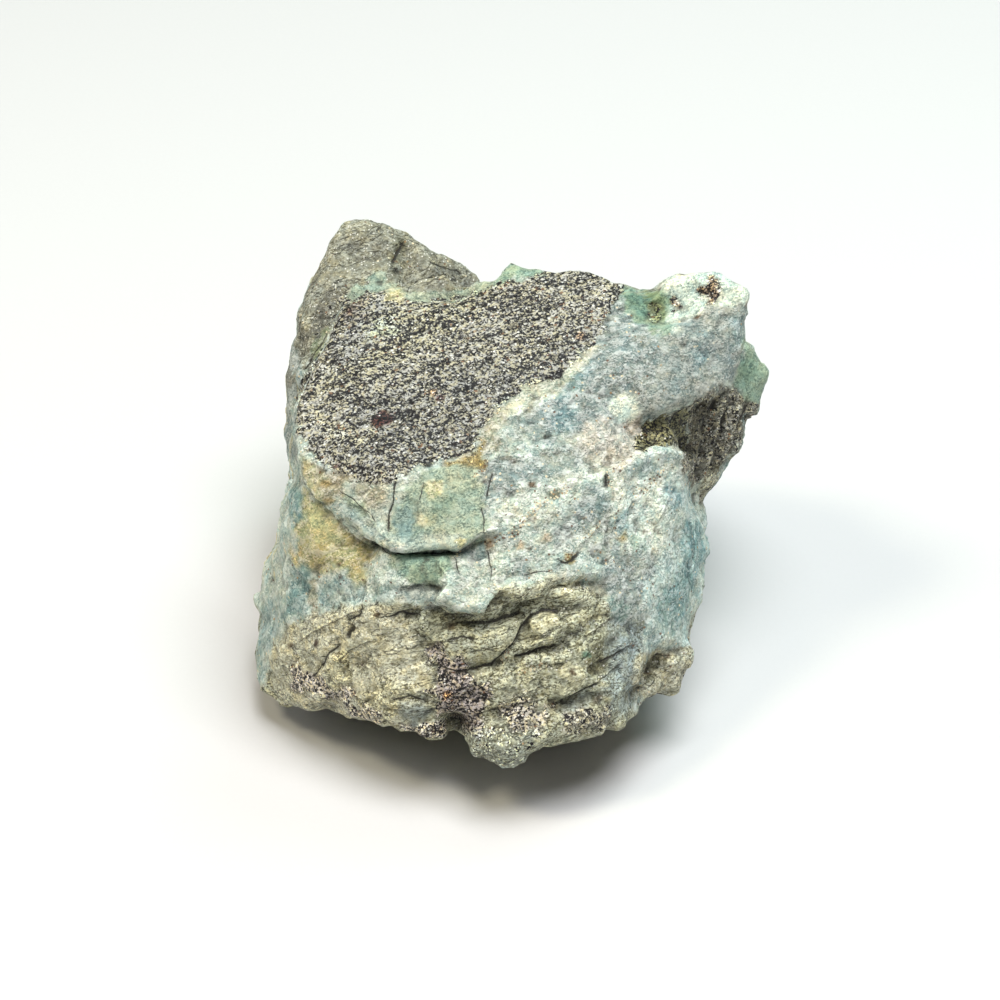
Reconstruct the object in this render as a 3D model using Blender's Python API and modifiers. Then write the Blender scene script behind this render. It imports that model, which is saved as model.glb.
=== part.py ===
"""Rough larimar: one broken lump of blue pectolite grown in dark basalt, as it comes out of the ground.

The lump is one piece of rock, so it is one object. It is laid out in millimetres: X to the right as seen
from its front, Y away from the front, Z up from the flat fracture that it rests on.
"""

import math

import bmesh
import bpy
import numpy as np
from mathutils import Vector, noise

MM = 0.001

# The front's features are placed as they look from EYE_DISTANCE away, EYE_TILT above the level:
# millimetres across and up from MIDDLE, on the plane through it that faces that way.
MIDDLE = Vector((0.0, 0.0, 24.0))
EYE_DISTANCE = 420.0
EYE_TILT = math.radians(35.0)

# A feature of the front fades out where the rock turns from facing the eye: the cosines at which it is
# gone and whole.
FADE_OUT = (0.05, 0.35)

# The size of the faces that are sculpted, what their edges lose to wear, and the triangles kept at the end.
GRAIN = 0.75
WEAR_PASSES = 4
WEAR_LOSS = 0.4
TRIANGLES = 9400

# The roughness of the whole lump: swells, and flat chips in two sizes, each tilted its own way.
SWELL_SIZE = 16.0
SWELL_HEIGHT = 0.35
SWELL_SEED = 3.0
BIG_CHIP = 6.5
BIG_CHIP_SLOPE = 0.14
BIG_CHIP_SEED = 5.0
SMALL_CHIP = 3.0
SMALL_CHIP_SLOPE = 0.10
SMALL_CHIP_SEED = 9.0

# What is cut away below the flat fracture.
GROUND_SIDE = 120.0
GROUND_DEPTH = 20.0

ROCK_COLOUR = (0.40, 0.42, 0.33, 1.0)
ROCK_ROUGHNESS = 0.85

# The lump's blocks, each the hull of its corners. They overlap, and their union is the rough form.
BLOCKS = {
    "front": [
        (-22.2, -9.0, 37.3),
        (-23.0, -4.0, 39.6),
        (-20.6, 2.3, 42.2),
        (-18.0, 9.3, 44.6),
        (-13.5, 12.0, 45.6),
        (9.0, 14.0, 47.2),
        (13.8, 11.0, 46.3),
        (11.4, 5.4, 44.0),
        (-2.6, -9.5, 39.0),
        (-3.8, -11.5, 38.3),
        (-12.7, -15.0, 37.1),
        (-22.5, -11.0, 35.0),
        (-10.6, -18.3, 30.0),
        (-1.7, -18.3, 31.8),
        (2.2, -14.0, 35.2),
        (6.7, -18.5, 28.8),
        (12.4, -10.5, 34.1),
        (15.9, -4.0, 37.6),
        (20.5, -4.0, 33.1),
        (15.9, -13.0, 24.8),
        (21.9, -6.6, 20.2),
        (23.5, -0.8, 18.9),
        (11.2, -18.5, 23.3),
        (-3.9, -21.8, 25.0),
        (-4.5, -24.0, 20.6),
        (6.7, -23.2, 21.2),
        (17.0, -17.7, 17.0),
        (11.2, -25.6, 14.2),
        (-12.0, -25.2, 14.6),
        (-22.8, -13.5, 18.0),
        (-25.0, -13.0, 12.0),
        (-27.0, -8.0, 4.4),
        (-26.1, -12.8, 4.8),
        (-19.9, -19.4, 9.5),
        (-12.1, -24.7, 10.0),
        (-6.3, -27.1, 10.5),
        (7.4, -27.8, 11.0),
        (13.6, -24.9, 10.1),
        (21.3, -14.7, 8.9),
        (21.4, -10.0, 10.2),
        (-26.0, 3.0, 7.0),
        (-24.4, 5.0, 15.0),
        (-18.0, 8.0, 0.0),
        (14.0, 8.0, 0.0),
        (-12.0, -9.0, 0.0),
        (9.0, -10.0, 0.0),
    ],
    "knob": [
        (28.3, 7.5, 47.3),
        (28.2, 5.5, 44.0),
        (24.2, 11.0, 48.4),
        (20.8, 12.0, 46.8),
        (26.9, 2.4, 39.4),
        (25.3, 0.8, 38.6),
        (15.9, -4.0, 37.6),
        (8.0, -2.0, 41.6),
        (11.4, 5.4, 44.0),
        (13.8, 11.0, 45.4),
        (26.0, 16.0, 42.5),
        (18.0, 18.0, 42.0),
        (27.9, 12.0, 40.5),
        (27.0, 9.0, 36.0),
        (12.0, 4.0, 30.0),
    ],
    "core": [
        (31.4, 15.0, 31.6),
        (29.1, 15.0, 36.1),
        (28.6, 13.2, 28.7),
        (22.6, 8.0, 22.8),
        (21.4, 4.0, 18.5),
        (18.4, 1.4, 33.0),
        (-23.6, 7.0, 24.0),
        (-24.6, 8.0, 12.0),
        (-23.0, 9.0, 2.0),
        (-10.0, 18.0, 38.8),
        (0.0, 21.0, 39.2),
        (12.0, 20.0, 41.3),
        (24.0, 22.0, 38.0),
        (25.5, 26.0, 22.0),
        (19.5, 27.0, 8.0),
        (12.0, 33.0, 20.0),
        (13.0, 5.0, 0.0),
        (-18.0, 4.0, 0.0),
        (18.0, 22.0, 0.0),
        (8.0, 29.0, 0.0),
        (-14.0, 27.0, 0.0),
        (-20.0, 12.0, 0.0),
        (18.5, -2.0, 6.0),
    ],
    "peak": [
        (-17.6, 34.0, 42.0),
        (-14.5, 34.5, 41.0),
        (-19.5, 33.0, 41.0),
        (-21.0, 32.0, 38.0),
        (-23.6, 28.0, 33.8),
        (-8.0, 32.0, 38.9),
        (-1.8, 30.0, 36.0),
        (-25.5, 22.0, 28.6),
        (-24.4, 16.0, 23.5),
        (-26.0, 10.0, 12.0),
        (-23.5, 22.0, 6.0),
        (-22.0, 36.0, 14.0),
        (-14.0, 39.0, 24.0),
        (0.0, 37.0, 12.0),
        (-14.0, 27.0, 0.0),
        (-21.0, 12.0, 0.0),
        (4.0, 30.0, 2.0),
        (8.0, 26.0, 24.0),
        (-10.0, 19.0, 33.0),
        (-21.0, 15.0, 30.0),
    ],
    "left foot": [
        (-28.6, 0.0, 9.5),
        (-28.4, -7.0, 4.4),
        (-27.0, -2.0, 14.0),
        (-25.2, 1.0, 18.0),
        (-25.6, -12.0, 5.0),
        (-24.6, -13.0, 12.0),
        (-27.0, 4.0, 6.0),
        (-20.0, 6.0, 0.0),
        (-14.0, -6.0, 0.0),
        (-18.0, 0.0, 20.0),
    ],
    "tooth": [
        (-0.3, 13.0, 45.9),
        (0.2, 14.0, 46.7),
        (1.6, 14.6, 46.8),
        (4.3, 14.2, 46.3),
        (5.6, 13.0, 46.2),
        (2.0, 11.0, 46.0),
        (1.0, 18.5, 40.0),
        (5.0, 18.0, 40.0),
        (2.5, 14.0, 34.0),
    ],
    "nub": [
        (0.9, -29.3, 7.5),
        (-2.5, -27.5, 8.7),
        (3.9, -28.5, 9.7),
        (-3.9, -27.1, 12.0),
        (5.9, -28.2, 13.2),
        (0.0, -30.2, 11.2),
        (1.0, -22.5, 6.4),
        (-2.0, -18.7, 11.7),
        (4.9, -18.7, 9.7),
    ],
}

# Steps in the front: points across and up, then the lip's height, the cut's depth and their reach.
# The rock stands out on the left of the line's way and falls back on its right.
LEDGES = [
    ([(-20.9, 0.3), (-18.0, -2.3), (-14.7, -4.9)], 0.2, 0.6, 2.6),
    ([(-14.7, -4.9), (-11.6, -5.8), (-8.1, -6.0), (-5.2, -5.6), (-1.9, -4.5)], 0.7, 2.0, 2.2),
    ([(-11.6, -9.8), (-8.7, -10.0), (-6.4, -9.6)], 0.3, 0.8, 1.6),
    (
        [
            (-7.0, -10.4),
            (-6.6, -12.0),
            (-4.4, -12.9),
            (-2.3, -12.3),
            (-0.9, -11.4),
            (3.5, -10.5),
            (7.0, -9.3),
            (10.0, -9.1),
        ],
        0.7,
        1.2,
        2.2,
    ),
    ([(20.9, 5.6), (18.3, 6.1), (16.3, 5.7), (12.4, 3.7)], 0.8, 0.9, 1.8),
]

# Cracks and furrows in the front: points across and up, then depth and half width.
GROOVES = [
    ([(-0.3, -18.8), (1.7, -16.2), (3.5, -14.0), (5.5, -12.6), (7.2, -12.4)], 0.9, 0.8),
    ([(-4.3, -19.5), (-0.3, -18.8)], 0.7, 0.8),
    ([(2.8, -17.7), (5.5, -17.2), (7.2, -16.9)], 0.7, 0.8),
    ([(7.2, -16.4), (9.5, -15.0), (11.5, -13.5)], 0.7, 0.8),
    ([(-3.0, -14.0), (0.0, -13.8), (2.6, -12.8)], 0.6, 0.8),
    ([(6.9, -24.4), (9.9, -23.5), (12.2, -22.4)], 0.7, 0.9),
    ([(17.4, -21.6), (18.4, -19.6), (20.0, -17.8)], 1.6, 1.0),
    ([(-11.0, 28.8), (-10.8, 26.0)], 1.2, 0.9),
    ([(-5.2, -26.2), (-4.9, -27.8)], 2.2, 0.9),
]

# Mounds and hollows of the front: across, up, half width, half height, height.
MOUNDS = [
    (-19.0, -7.5, 5.5, 5.0, -1.2),
    (18.3, 22.3, 3.4, 2.0, -1.6),
    (-6.5, 24.4, 4.0, 1.6, -1.5),
    (-5.0, -11.0, 2.4, 1.8, 0.8),
    (4.6, -14.8, 1.2, 1.0, 0.7),
    (8.4, -19.8, 1.4, 1.1, 0.7),
    (21.5, -18.5, 1.6, 2.2, 0.9),
    (16.0, 8.5, 2.5, 1.6, -1.5),
    (-28.0, -11.0, 1.6, 2.6, 0.6),
]

# Calmer faces of the front: outline across and up, and the share of the chips' roughness that they keep.
TOP_FACE = [
    (-23.6, 7.6),
    (-23.6, 11.2),
    (-20.9, 16.9),
    (-17.2, 24.2),
    (-14.9, 25.1),
    (-10.0, 23.5),
    (-4.4, 24.1),
    (-0.5, 25.5),
    (8.5, 26.6),
    (14.5, 25.0),
    (12.2, 19.5),
    (6.7, 14.2),
    (0.9, 12.0),
    (-4.0, 5.3),
    (-12.6, 2.0),
    (-22.2, 5.8),
]
WHITE_SLOPE = [
    (-4.0, 5.3),
    (0.9, 12.0),
    (6.7, 14.2),
    (12.2, 19.5),
    (29.0, 24.0),
    (27.0, 13.5),
    (16.3, 8.7),
    (20.9, 5.6),
    (24.4, -3.0),
    (23.0, -14.0),
    (10.0, -9.1),
    (-6.6, -12.0),
    (-1.9, -4.5),
]
UPPER_STEP = [
    (-23.0, 4.0),
    (-16.0, 2.5),
    (-4.0, 5.3),
    (-1.9, -4.5),
    (-8.0, -6.0),
    (-15.0, -5.0),
    (-20.0, -0.5),
]
CALM = [(TOP_FACE, 0.15), (WHITE_SLOPE, 0.55), (UPPER_STEP, 0.4)]


def block(name, corners):
    """A closed convex block, the hull of its corners."""
    shape = bmesh.new()
    for corner in corners:
        shape.verts.new(Vector(corner))
    hull = bmesh.ops.convex_hull(shape, input=shape.verts)
    spare = hull["geom_interior"] + hull["geom_unused"]
    inside = {element for element in spare if isinstance(element, bmesh.types.BMVert)}
    bmesh.ops.delete(shape, geom=list(inside), context="VERTS")
    bmesh.ops.recalc_face_normals(shape, faces=shape.faces)
    mesh = bpy.data.meshes.new(name)
    shape.to_mesh(mesh)
    shape.free()
    return bpy.data.objects.new(name, mesh)


def evaluated_mesh(obj):
    """The object's mesh with its modifiers applied, as a new mesh."""
    bpy.context.view_layer.update()
    graph = bpy.context.evaluated_depsgraph_get()
    return bpy.data.meshes.new_from_object(obj.evaluated_get(graph))


def points_and_normals(mesh):
    """The mesh's points and their normals, as rows of three numbers."""
    points = np.empty(len(mesh.vertices) * 3, np.float32)
    normals = np.empty(len(mesh.vertices) * 3, np.float32)
    mesh.vertices.foreach_get("co", points)
    mesh.vertex_normals.foreach_get("vector", normals)
    return points.reshape(-1, 3).astype(float), normals.reshape(-1, 3).astype(float)


def move_points(mesh, points):
    mesh.vertices.foreach_set("co", points.astype(np.float32).ravel())
    mesh.update()


def rough_form(collection):
    """The union of the blocks with worn edges, in even faces about GRAIN across."""
    blocks = [block(name, corners) for name, corners in BLOCKS.items()]
    for made in blocks:
        collection.objects.link(made)
    body = blocks[0]
    for other in blocks[1:]:
        join = body.modifiers.new(other.name, "BOOLEAN")
        join.operation = "UNION"
        join.object = other
    even = body.modifiers.new("even faces", "REMESH")
    even.mode = "VOXEL"
    even.voxel_size = GRAIN
    wear = body.modifiers.new("worn edges", "SMOOTH")
    wear.factor = 0.5
    wear.iterations = WEAR_PASSES
    mesh = evaluated_mesh(body)
    for made in blocks:
        bpy.data.objects.remove(made)
    return mesh


def to_eye():
    return np.array((0.0, -math.cos(EYE_TILT), math.sin(EYE_TILT)))


def seen(points):
    """Where the points are seen from the front, in millimetres across and up from MIDDLE."""
    back = to_eye()
    rise = np.array((0.0, math.sin(EYE_TILT), math.cos(EYE_TILT)))
    from_middle = points - np.array(MIDDLE)
    nearer = EYE_DISTANCE / (EYE_DISTANCE - from_middle @ back)
    return from_middle[:, 0] * nearer, (from_middle @ rise) * nearer


def ramp(x, low, high):
    """0 up to low, 1 from high on, and a smooth rise between them."""
    t = np.clip((x - low) / (high - low), 0.0, 1.0)
    return t * t * (3.0 - 2.0 * t)


def beside(line, across, up):
    """Distance of each seen point from the line, and its side: 1 to the left of the line's way, else -1."""
    nearest = np.full(len(across), np.inf)
    side = np.ones(len(across))
    for (start_a, start_u), (end_a, end_u) in zip(line, line[1:]):
        run_a = end_a - start_a
        run_u = end_u - start_u
        share = ((across - start_a) * run_a + (up - start_u) * run_u) / (run_a**2 + run_u**2)
        share = np.clip(share, 0.0, 1.0)
        off_a = across - start_a - share * run_a
        off_u = up - start_u - share * run_u
        distance = np.hypot(off_a, off_u)
        closer = distance < nearest
        nearest = np.where(closer, distance, nearest)
        side = np.where(closer, np.sign(run_a * off_u - run_u * off_a), side)
    return nearest, side


def ledge(line, lip, cut, reach, across, up):
    """A step along the line: the rock stands out by lip on its left and falls back by cut on its right."""
    distance, side = beside(line, across, up)
    fade = np.exp(-((distance / reach) ** 2))
    return np.where(side > 0, lip, -cut) * fade


def groove(line, depth, width, across, up):
    distance, _ = beside(line, across, up)
    return -depth * np.exp(-((distance / width) ** 2))


def mound(spot, across, up):
    """A rounded mound, or a hollow where its height is negative."""
    centre_a, centre_u, radius_a, radius_u, height = spot
    reach = ((across - centre_a) / radius_a) ** 2 + ((up - centre_u) / radius_u) ** 2
    return height * np.exp(-reach)


def drift(place):
    """A smooth shift that bends the edges of the chips: a noise for each direction."""
    return Vector([noise.noise(place + Vector((apart, apart, 0.0))) for apart in (0.0, 31.0, 57.0)])


def chips(points, size, slope, seed):
    """Heights of flat chips about size across, each tilted its own way by up to slope."""
    heights = np.empty(len(points))
    offset = Vector((seed, seed * 1.7, seed * 2.3))
    for i, point in enumerate(points):
        place = Vector(point) / size + offset
        place += drift(place * 0.8) * 0.35
        centre = noise.voronoi(place)[1][0]
        tilt = noise.cell_vector(centre * 7.3) - Vector((0.5, 0.5, 0.5))
        heights[i] = (place - centre).dot(tilt) * 2.0 * slope * size
    return heights


def swells(points):
    """Smooth swells of the whole lump."""
    offset = Vector((SWELL_SEED, -SWELL_SEED, SWELL_SEED * 0.5))
    found = [noise.fractal(Vector(point) / SWELL_SIZE + offset, 0.8, 2.0, 3) for point in points]
    return np.array(found) * SWELL_HEIGHT


def within(outline, across, up):
    """1 for the points seen inside the outline, 0 outside, blended over about a millimetre."""
    inside = np.zeros(len(across), bool)
    for (start_a, start_u), (end_a, end_u) in zip(outline, outline[1:] + outline[:1]):
        if start_u == end_u:
            continue
        crosses = (start_u > up) != (end_u > up)
        edge = start_a + (end_a - start_a) * (up - start_u) / (end_u - start_u)
        inside ^= crosses & (across < edge)
    distance, _ = beside(outline + outline[:1], across, up)
    return ramp(np.where(inside, distance, -distance), -0.5, 0.8)


def sculpt(mesh):
    """Moves the rough form's points out and in along their normals, for everything smaller than a block."""
    points, normals = points_and_normals(mesh)
    across, up = seen(points)
    relief = np.zeros(len(points))
    for line, lip, cut, reach in LEDGES:
        relief += ledge(line, lip, cut, reach, across, up)
    for line, depth, width in GROOVES:
        relief += groove(line, depth, width, across, up)
    for spot in MOUNDS:
        relief += mound(spot, across, up)
    front = ramp(normals @ to_eye(), *FADE_OUT)
    relief *= front
    roughness = np.ones(len(points))
    for outline, share in CALM:
        roughness *= 1.0 - (1.0 - share) * within(outline, across, up) * front
    relief += swells(points)
    relief += chips(points, BIG_CHIP, BIG_CHIP_SLOPE, BIG_CHIP_SEED) * roughness
    relief += chips(points, SMALL_CHIP, SMALL_CHIP_SLOPE, SMALL_CHIP_SEED) * roughness
    relief += WEAR_LOSS
    move_points(mesh, points + normals * relief[:, None])


def thin_out(stone):
    """Fewer, larger faces, down to about TRIANGLES."""
    stone.data.calc_loop_triangles()
    fewer = stone.modifiers.new("fewer faces", "DECIMATE")
    fewer.ratio = TRIANGLES / len(stone.data.loop_triangles)
    fewer.use_collapse_triangulate = True


def cut_flat(stone):
    """The flat fracture at Z = 0 that the lump rests on."""
    bpy.ops.mesh.primitive_cube_add(size=1.0, location=(0.0, 0.0, -GROUND_DEPTH / 2))
    ground = bpy.context.object
    ground.scale = (GROUND_SIDE, GROUND_SIDE, GROUND_DEPTH)
    flat = stone.modifiers.new("flat rest", "BOOLEAN")
    flat.operation = "DIFFERENCE"
    flat.object = ground
    mesh = evaluated_mesh(stone)
    bpy.data.objects.remove(ground)
    stone.modifiers.clear()
    stone.data = mesh


def centre(mesh):
    """Puts the middle of the lump's outline from above over the origin, and turns millimetres into metres."""
    points, _ = points_and_normals(mesh)
    middle = (points.min(0) + points.max(0)) / 2
    middle[2] = points[:, 2].min()
    move_points(mesh, (points - middle) * MM)


def rock():
    material = bpy.data.materials.new("rock")
    material.use_nodes = True
    shader = material.node_tree.nodes["Principled BSDF"]
    shader.inputs["Base Color"].default_value = ROCK_COLOUR
    shader.inputs["Roughness"].default_value = ROCK_ROUGHNESS
    shader.inputs["Metallic"].default_value = 0.0
    return material


def main():
    for old in list(bpy.data.objects):
        bpy.data.objects.remove(old)
    collection = bpy.data.collections.new("rough_larimar")
    bpy.context.scene.collection.children.link(collection)
    mesh = rough_form(collection)
    sculpt(mesh)
    stone = bpy.data.objects.new("larimar", mesh)
    collection.objects.link(stone)
    thin_out(stone)
    cut_flat(stone)
    centre(stone.data)
    stone.data.materials.append(rock())


main()
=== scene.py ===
"""The looks of the rough larimar: a finer mesh of the lump, its rock in procedural materials, light and camera.

Lengths are in millimetres until a mesh is written. The front's colours and small forms are placed by where
they are seen: pixels across and down in the picture that the camera takes, 1000 pixels wide.
"""

import itertools
import math

import bmesh
import bpy
import numpy as np
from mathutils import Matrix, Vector
from mathutils.bvhtree import BVHTree


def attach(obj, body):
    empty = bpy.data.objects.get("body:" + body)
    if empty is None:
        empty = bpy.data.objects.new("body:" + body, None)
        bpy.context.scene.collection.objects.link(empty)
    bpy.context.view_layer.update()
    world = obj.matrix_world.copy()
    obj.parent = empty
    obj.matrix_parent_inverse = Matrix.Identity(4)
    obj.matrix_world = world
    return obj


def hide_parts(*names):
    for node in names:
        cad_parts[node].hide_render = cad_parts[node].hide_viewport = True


MM = 0.001

# The camera looks down at the lump from the front. The picture is 1000 pixels wide, and PIXELS of them are a
# millimetre at the distance of the point it looks at.
LOOKS_AT = np.array((-1.0, -4.6, 24.0))
CAMERA_TILT = math.radians(35.0)
CAMERA_DISTANCE = 420.0
LENS = 130.0
SENSOR = 36.0
PICTURE_MIDDLE = 500.0
PIXELS = LENS / SENSOR * 1000.0 / CAMERA_DISTANCE

# The soft lights' colours.
WHITISH = (0.97, 0.98, 1.0)
COOL = (0.72, 1.0, 0.96)
WARM = (1.0, 0.91, 0.68)

# The mesh's fineness, and the passes that wear the solid's facets off it.
GRAIN = 0.43
WEAR_PASSES = 5

# The plates of the lower rock and the grains of the top face rise to the right.
PLATE_RISE = math.radians(16.0)
GRAIN_TURN = math.radians(-24.0)
FIBRE_RISE = math.radians(38.0)

# Kinds of rock: how strongly a place has the basalt's speckle, the matrix's grit and the pectolite's chalky
# frost, and whether its grain runs upright.
PECTOLITE = (0.0, 0.0, 1.0, 0.0)
UPRIGHT = (0.0, 0.0, 0.8, 1.0)
SATIN = (0.0, 0.0, 0.5, 0.0)
GLASSY = (0.0, 0.0, 0.1, 0.0)
BASALT = (1.0, 0.0, 0.0, 0.0)
MATRIX = (0.0, 1.0, 0.0, 0.0)
EVEN = (0.0, 1.0, 0.7, 0.0)
WEATHERED = (0.35, 0.65, 0.0, 0.0)
STREAKED = (0.55, 0.45, 0.0, 1.0)

# Colours as the rock would have them in even light; some of the patches and spots below use them for painted shade or
# painted light.
WHITE = (184, 193, 182)
CREAM = (204, 202, 178)
MINT = (200, 211, 200)
SNOW = (220, 227, 213)
SAGE = (160, 172, 154)
PALE_BLUE = (192, 205, 197)
BLUE = (124, 152, 154)
DEEP_BLUE = (104, 142, 144)
GREY_BLUE = (138, 148, 145)
LILAC = (143, 151, 147)
PINKISH = (196, 186, 172)
GREEN = (144, 164, 146)
TEAL = (96, 128, 112)
MOSS = (124, 138, 100)
OCHRE = (206, 194, 138)
WAXY = (198, 194, 146)
MUSTARD = (146, 122, 50)
ORANGE = (206, 160, 110)
RED = (52, 21, 19)
BROWN = (88, 64, 38)
TAN = (166, 158, 132)
PALE_LIT_EARTH = (206, 203, 180)
CRUST = (178, 176, 155)
OLIVE = (170, 171, 148)
PALE_OLIVE = (206, 202, 170)
DARK_OLIVE = (108, 106, 80)
UMBER = (90, 89, 68)
PURPLE = (106, 99, 96)
MAUVE = (138, 132, 126)
STONE = (106, 105, 98)
PALE_STONE = (110, 109, 97)
DARK_STONE = (95, 95, 91)
PEAK = (138, 138, 124)
WALL = (124, 122, 111)
# Near-black: painted shade in the small pits that the black spots carve.
BLACK = (34, 30, 24)


class Patch:
    """An area of the front in one colour and kind of rock, its edge blurred and ragged by some millimetres."""

    def __init__(self, colour, kind, outline, blur=0.4, strength=1.0, ragged=0.6):
        self.colour = colour
        self.kind = kind
        self.outline = outline
        self.blur = blur
        self.strength = strength
        self.ragged = ragged


class Line:
    """A thin line on the front, half of its width in millimetres."""

    def __init__(self, points, half=0.08):
        self.points = points
        self.half = half


class Step:
    """A small ledge on the front: the rock stands out by height on the left of the line's way."""

    def __init__(self, points, height=0.4, reach=0.9):
        self.points = points
        self.half = 0.10
        self.height = height
        self.reach = reach


class Ridge:
    """Rock on the front that stands out by height along a line."""

    def __init__(self, points, height, reach):
        self.points = points
        self.height = height
        self.reach = reach


class Push:
    """A stretch of the outline moved by some pixels across and down, with the rock within reach pixels of it."""

    def __init__(self, u, v, across, down, reach=14):
        self.u = u
        self.v = v
        self.across = across
        self.down = down
        self.reach = reach


class Spot:
    """A round spot on the front, its radius in millimetres."""

    def __init__(self, colour, u, v, radius=0.35, strength=0.9):
        self.colour = colour
        self.u = u
        self.v = v
        self.radius = radius
        self.strength = strength
        # Black and brown spots are carved as shallow pits; the black ones' near-black colour is painted shade in them.
        self.depth = 0.7 * radius if colour in (BLACK, BROWN) else 0.0


TOP_FACE = [
    (297, 435), (297, 404), (303, 381), (320, 355), (332, 332), (343, 303), (352, 292), (372, 284), (392, 294),
    (408, 298), (443, 297), (462, 293), (480, 286), (496, 281), (520, 277), (535, 272), (573, 266), (596, 270),
    (625, 283), (616, 298), (607, 312), (605, 332), (594, 342), (581, 351), (570, 366), (558, 378), (535, 381),
    (522, 388), (508, 397), (496, 407), (489, 416), (481, 428), (477, 439), (474, 448), (466, 454), (445, 458),
    (424, 464), (408, 472), (392, 483), (372, 482), (355, 477), (332, 469), (318, 460), (309, 450),
]
PEAK_FACE = [
    (290, 300), (305, 262), (330, 215), (350, 212), (420, 235), (480, 272), (484, 286), (462, 294), (442, 297),
    (408, 298), (390, 293), (372, 284), (352, 291), (342, 304), (334, 326), (322, 350), (306, 372), (296, 350),
]
LOWER_ROCK = [
    (276, 640), (284, 628), (300, 622), (320, 612), (347, 606), (364, 604), (393, 602), (412, 606), (437, 608),
    (462, 613), (480, 606), (497, 593), (516, 585), (536, 581), (562, 578), (578, 580), (593, 589), (606, 599),
    (608, 612), (616, 628), (618, 650), (618, 690), (640, 720), (640, 800), (240, 800), (262, 690), (270, 660),
]

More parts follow.
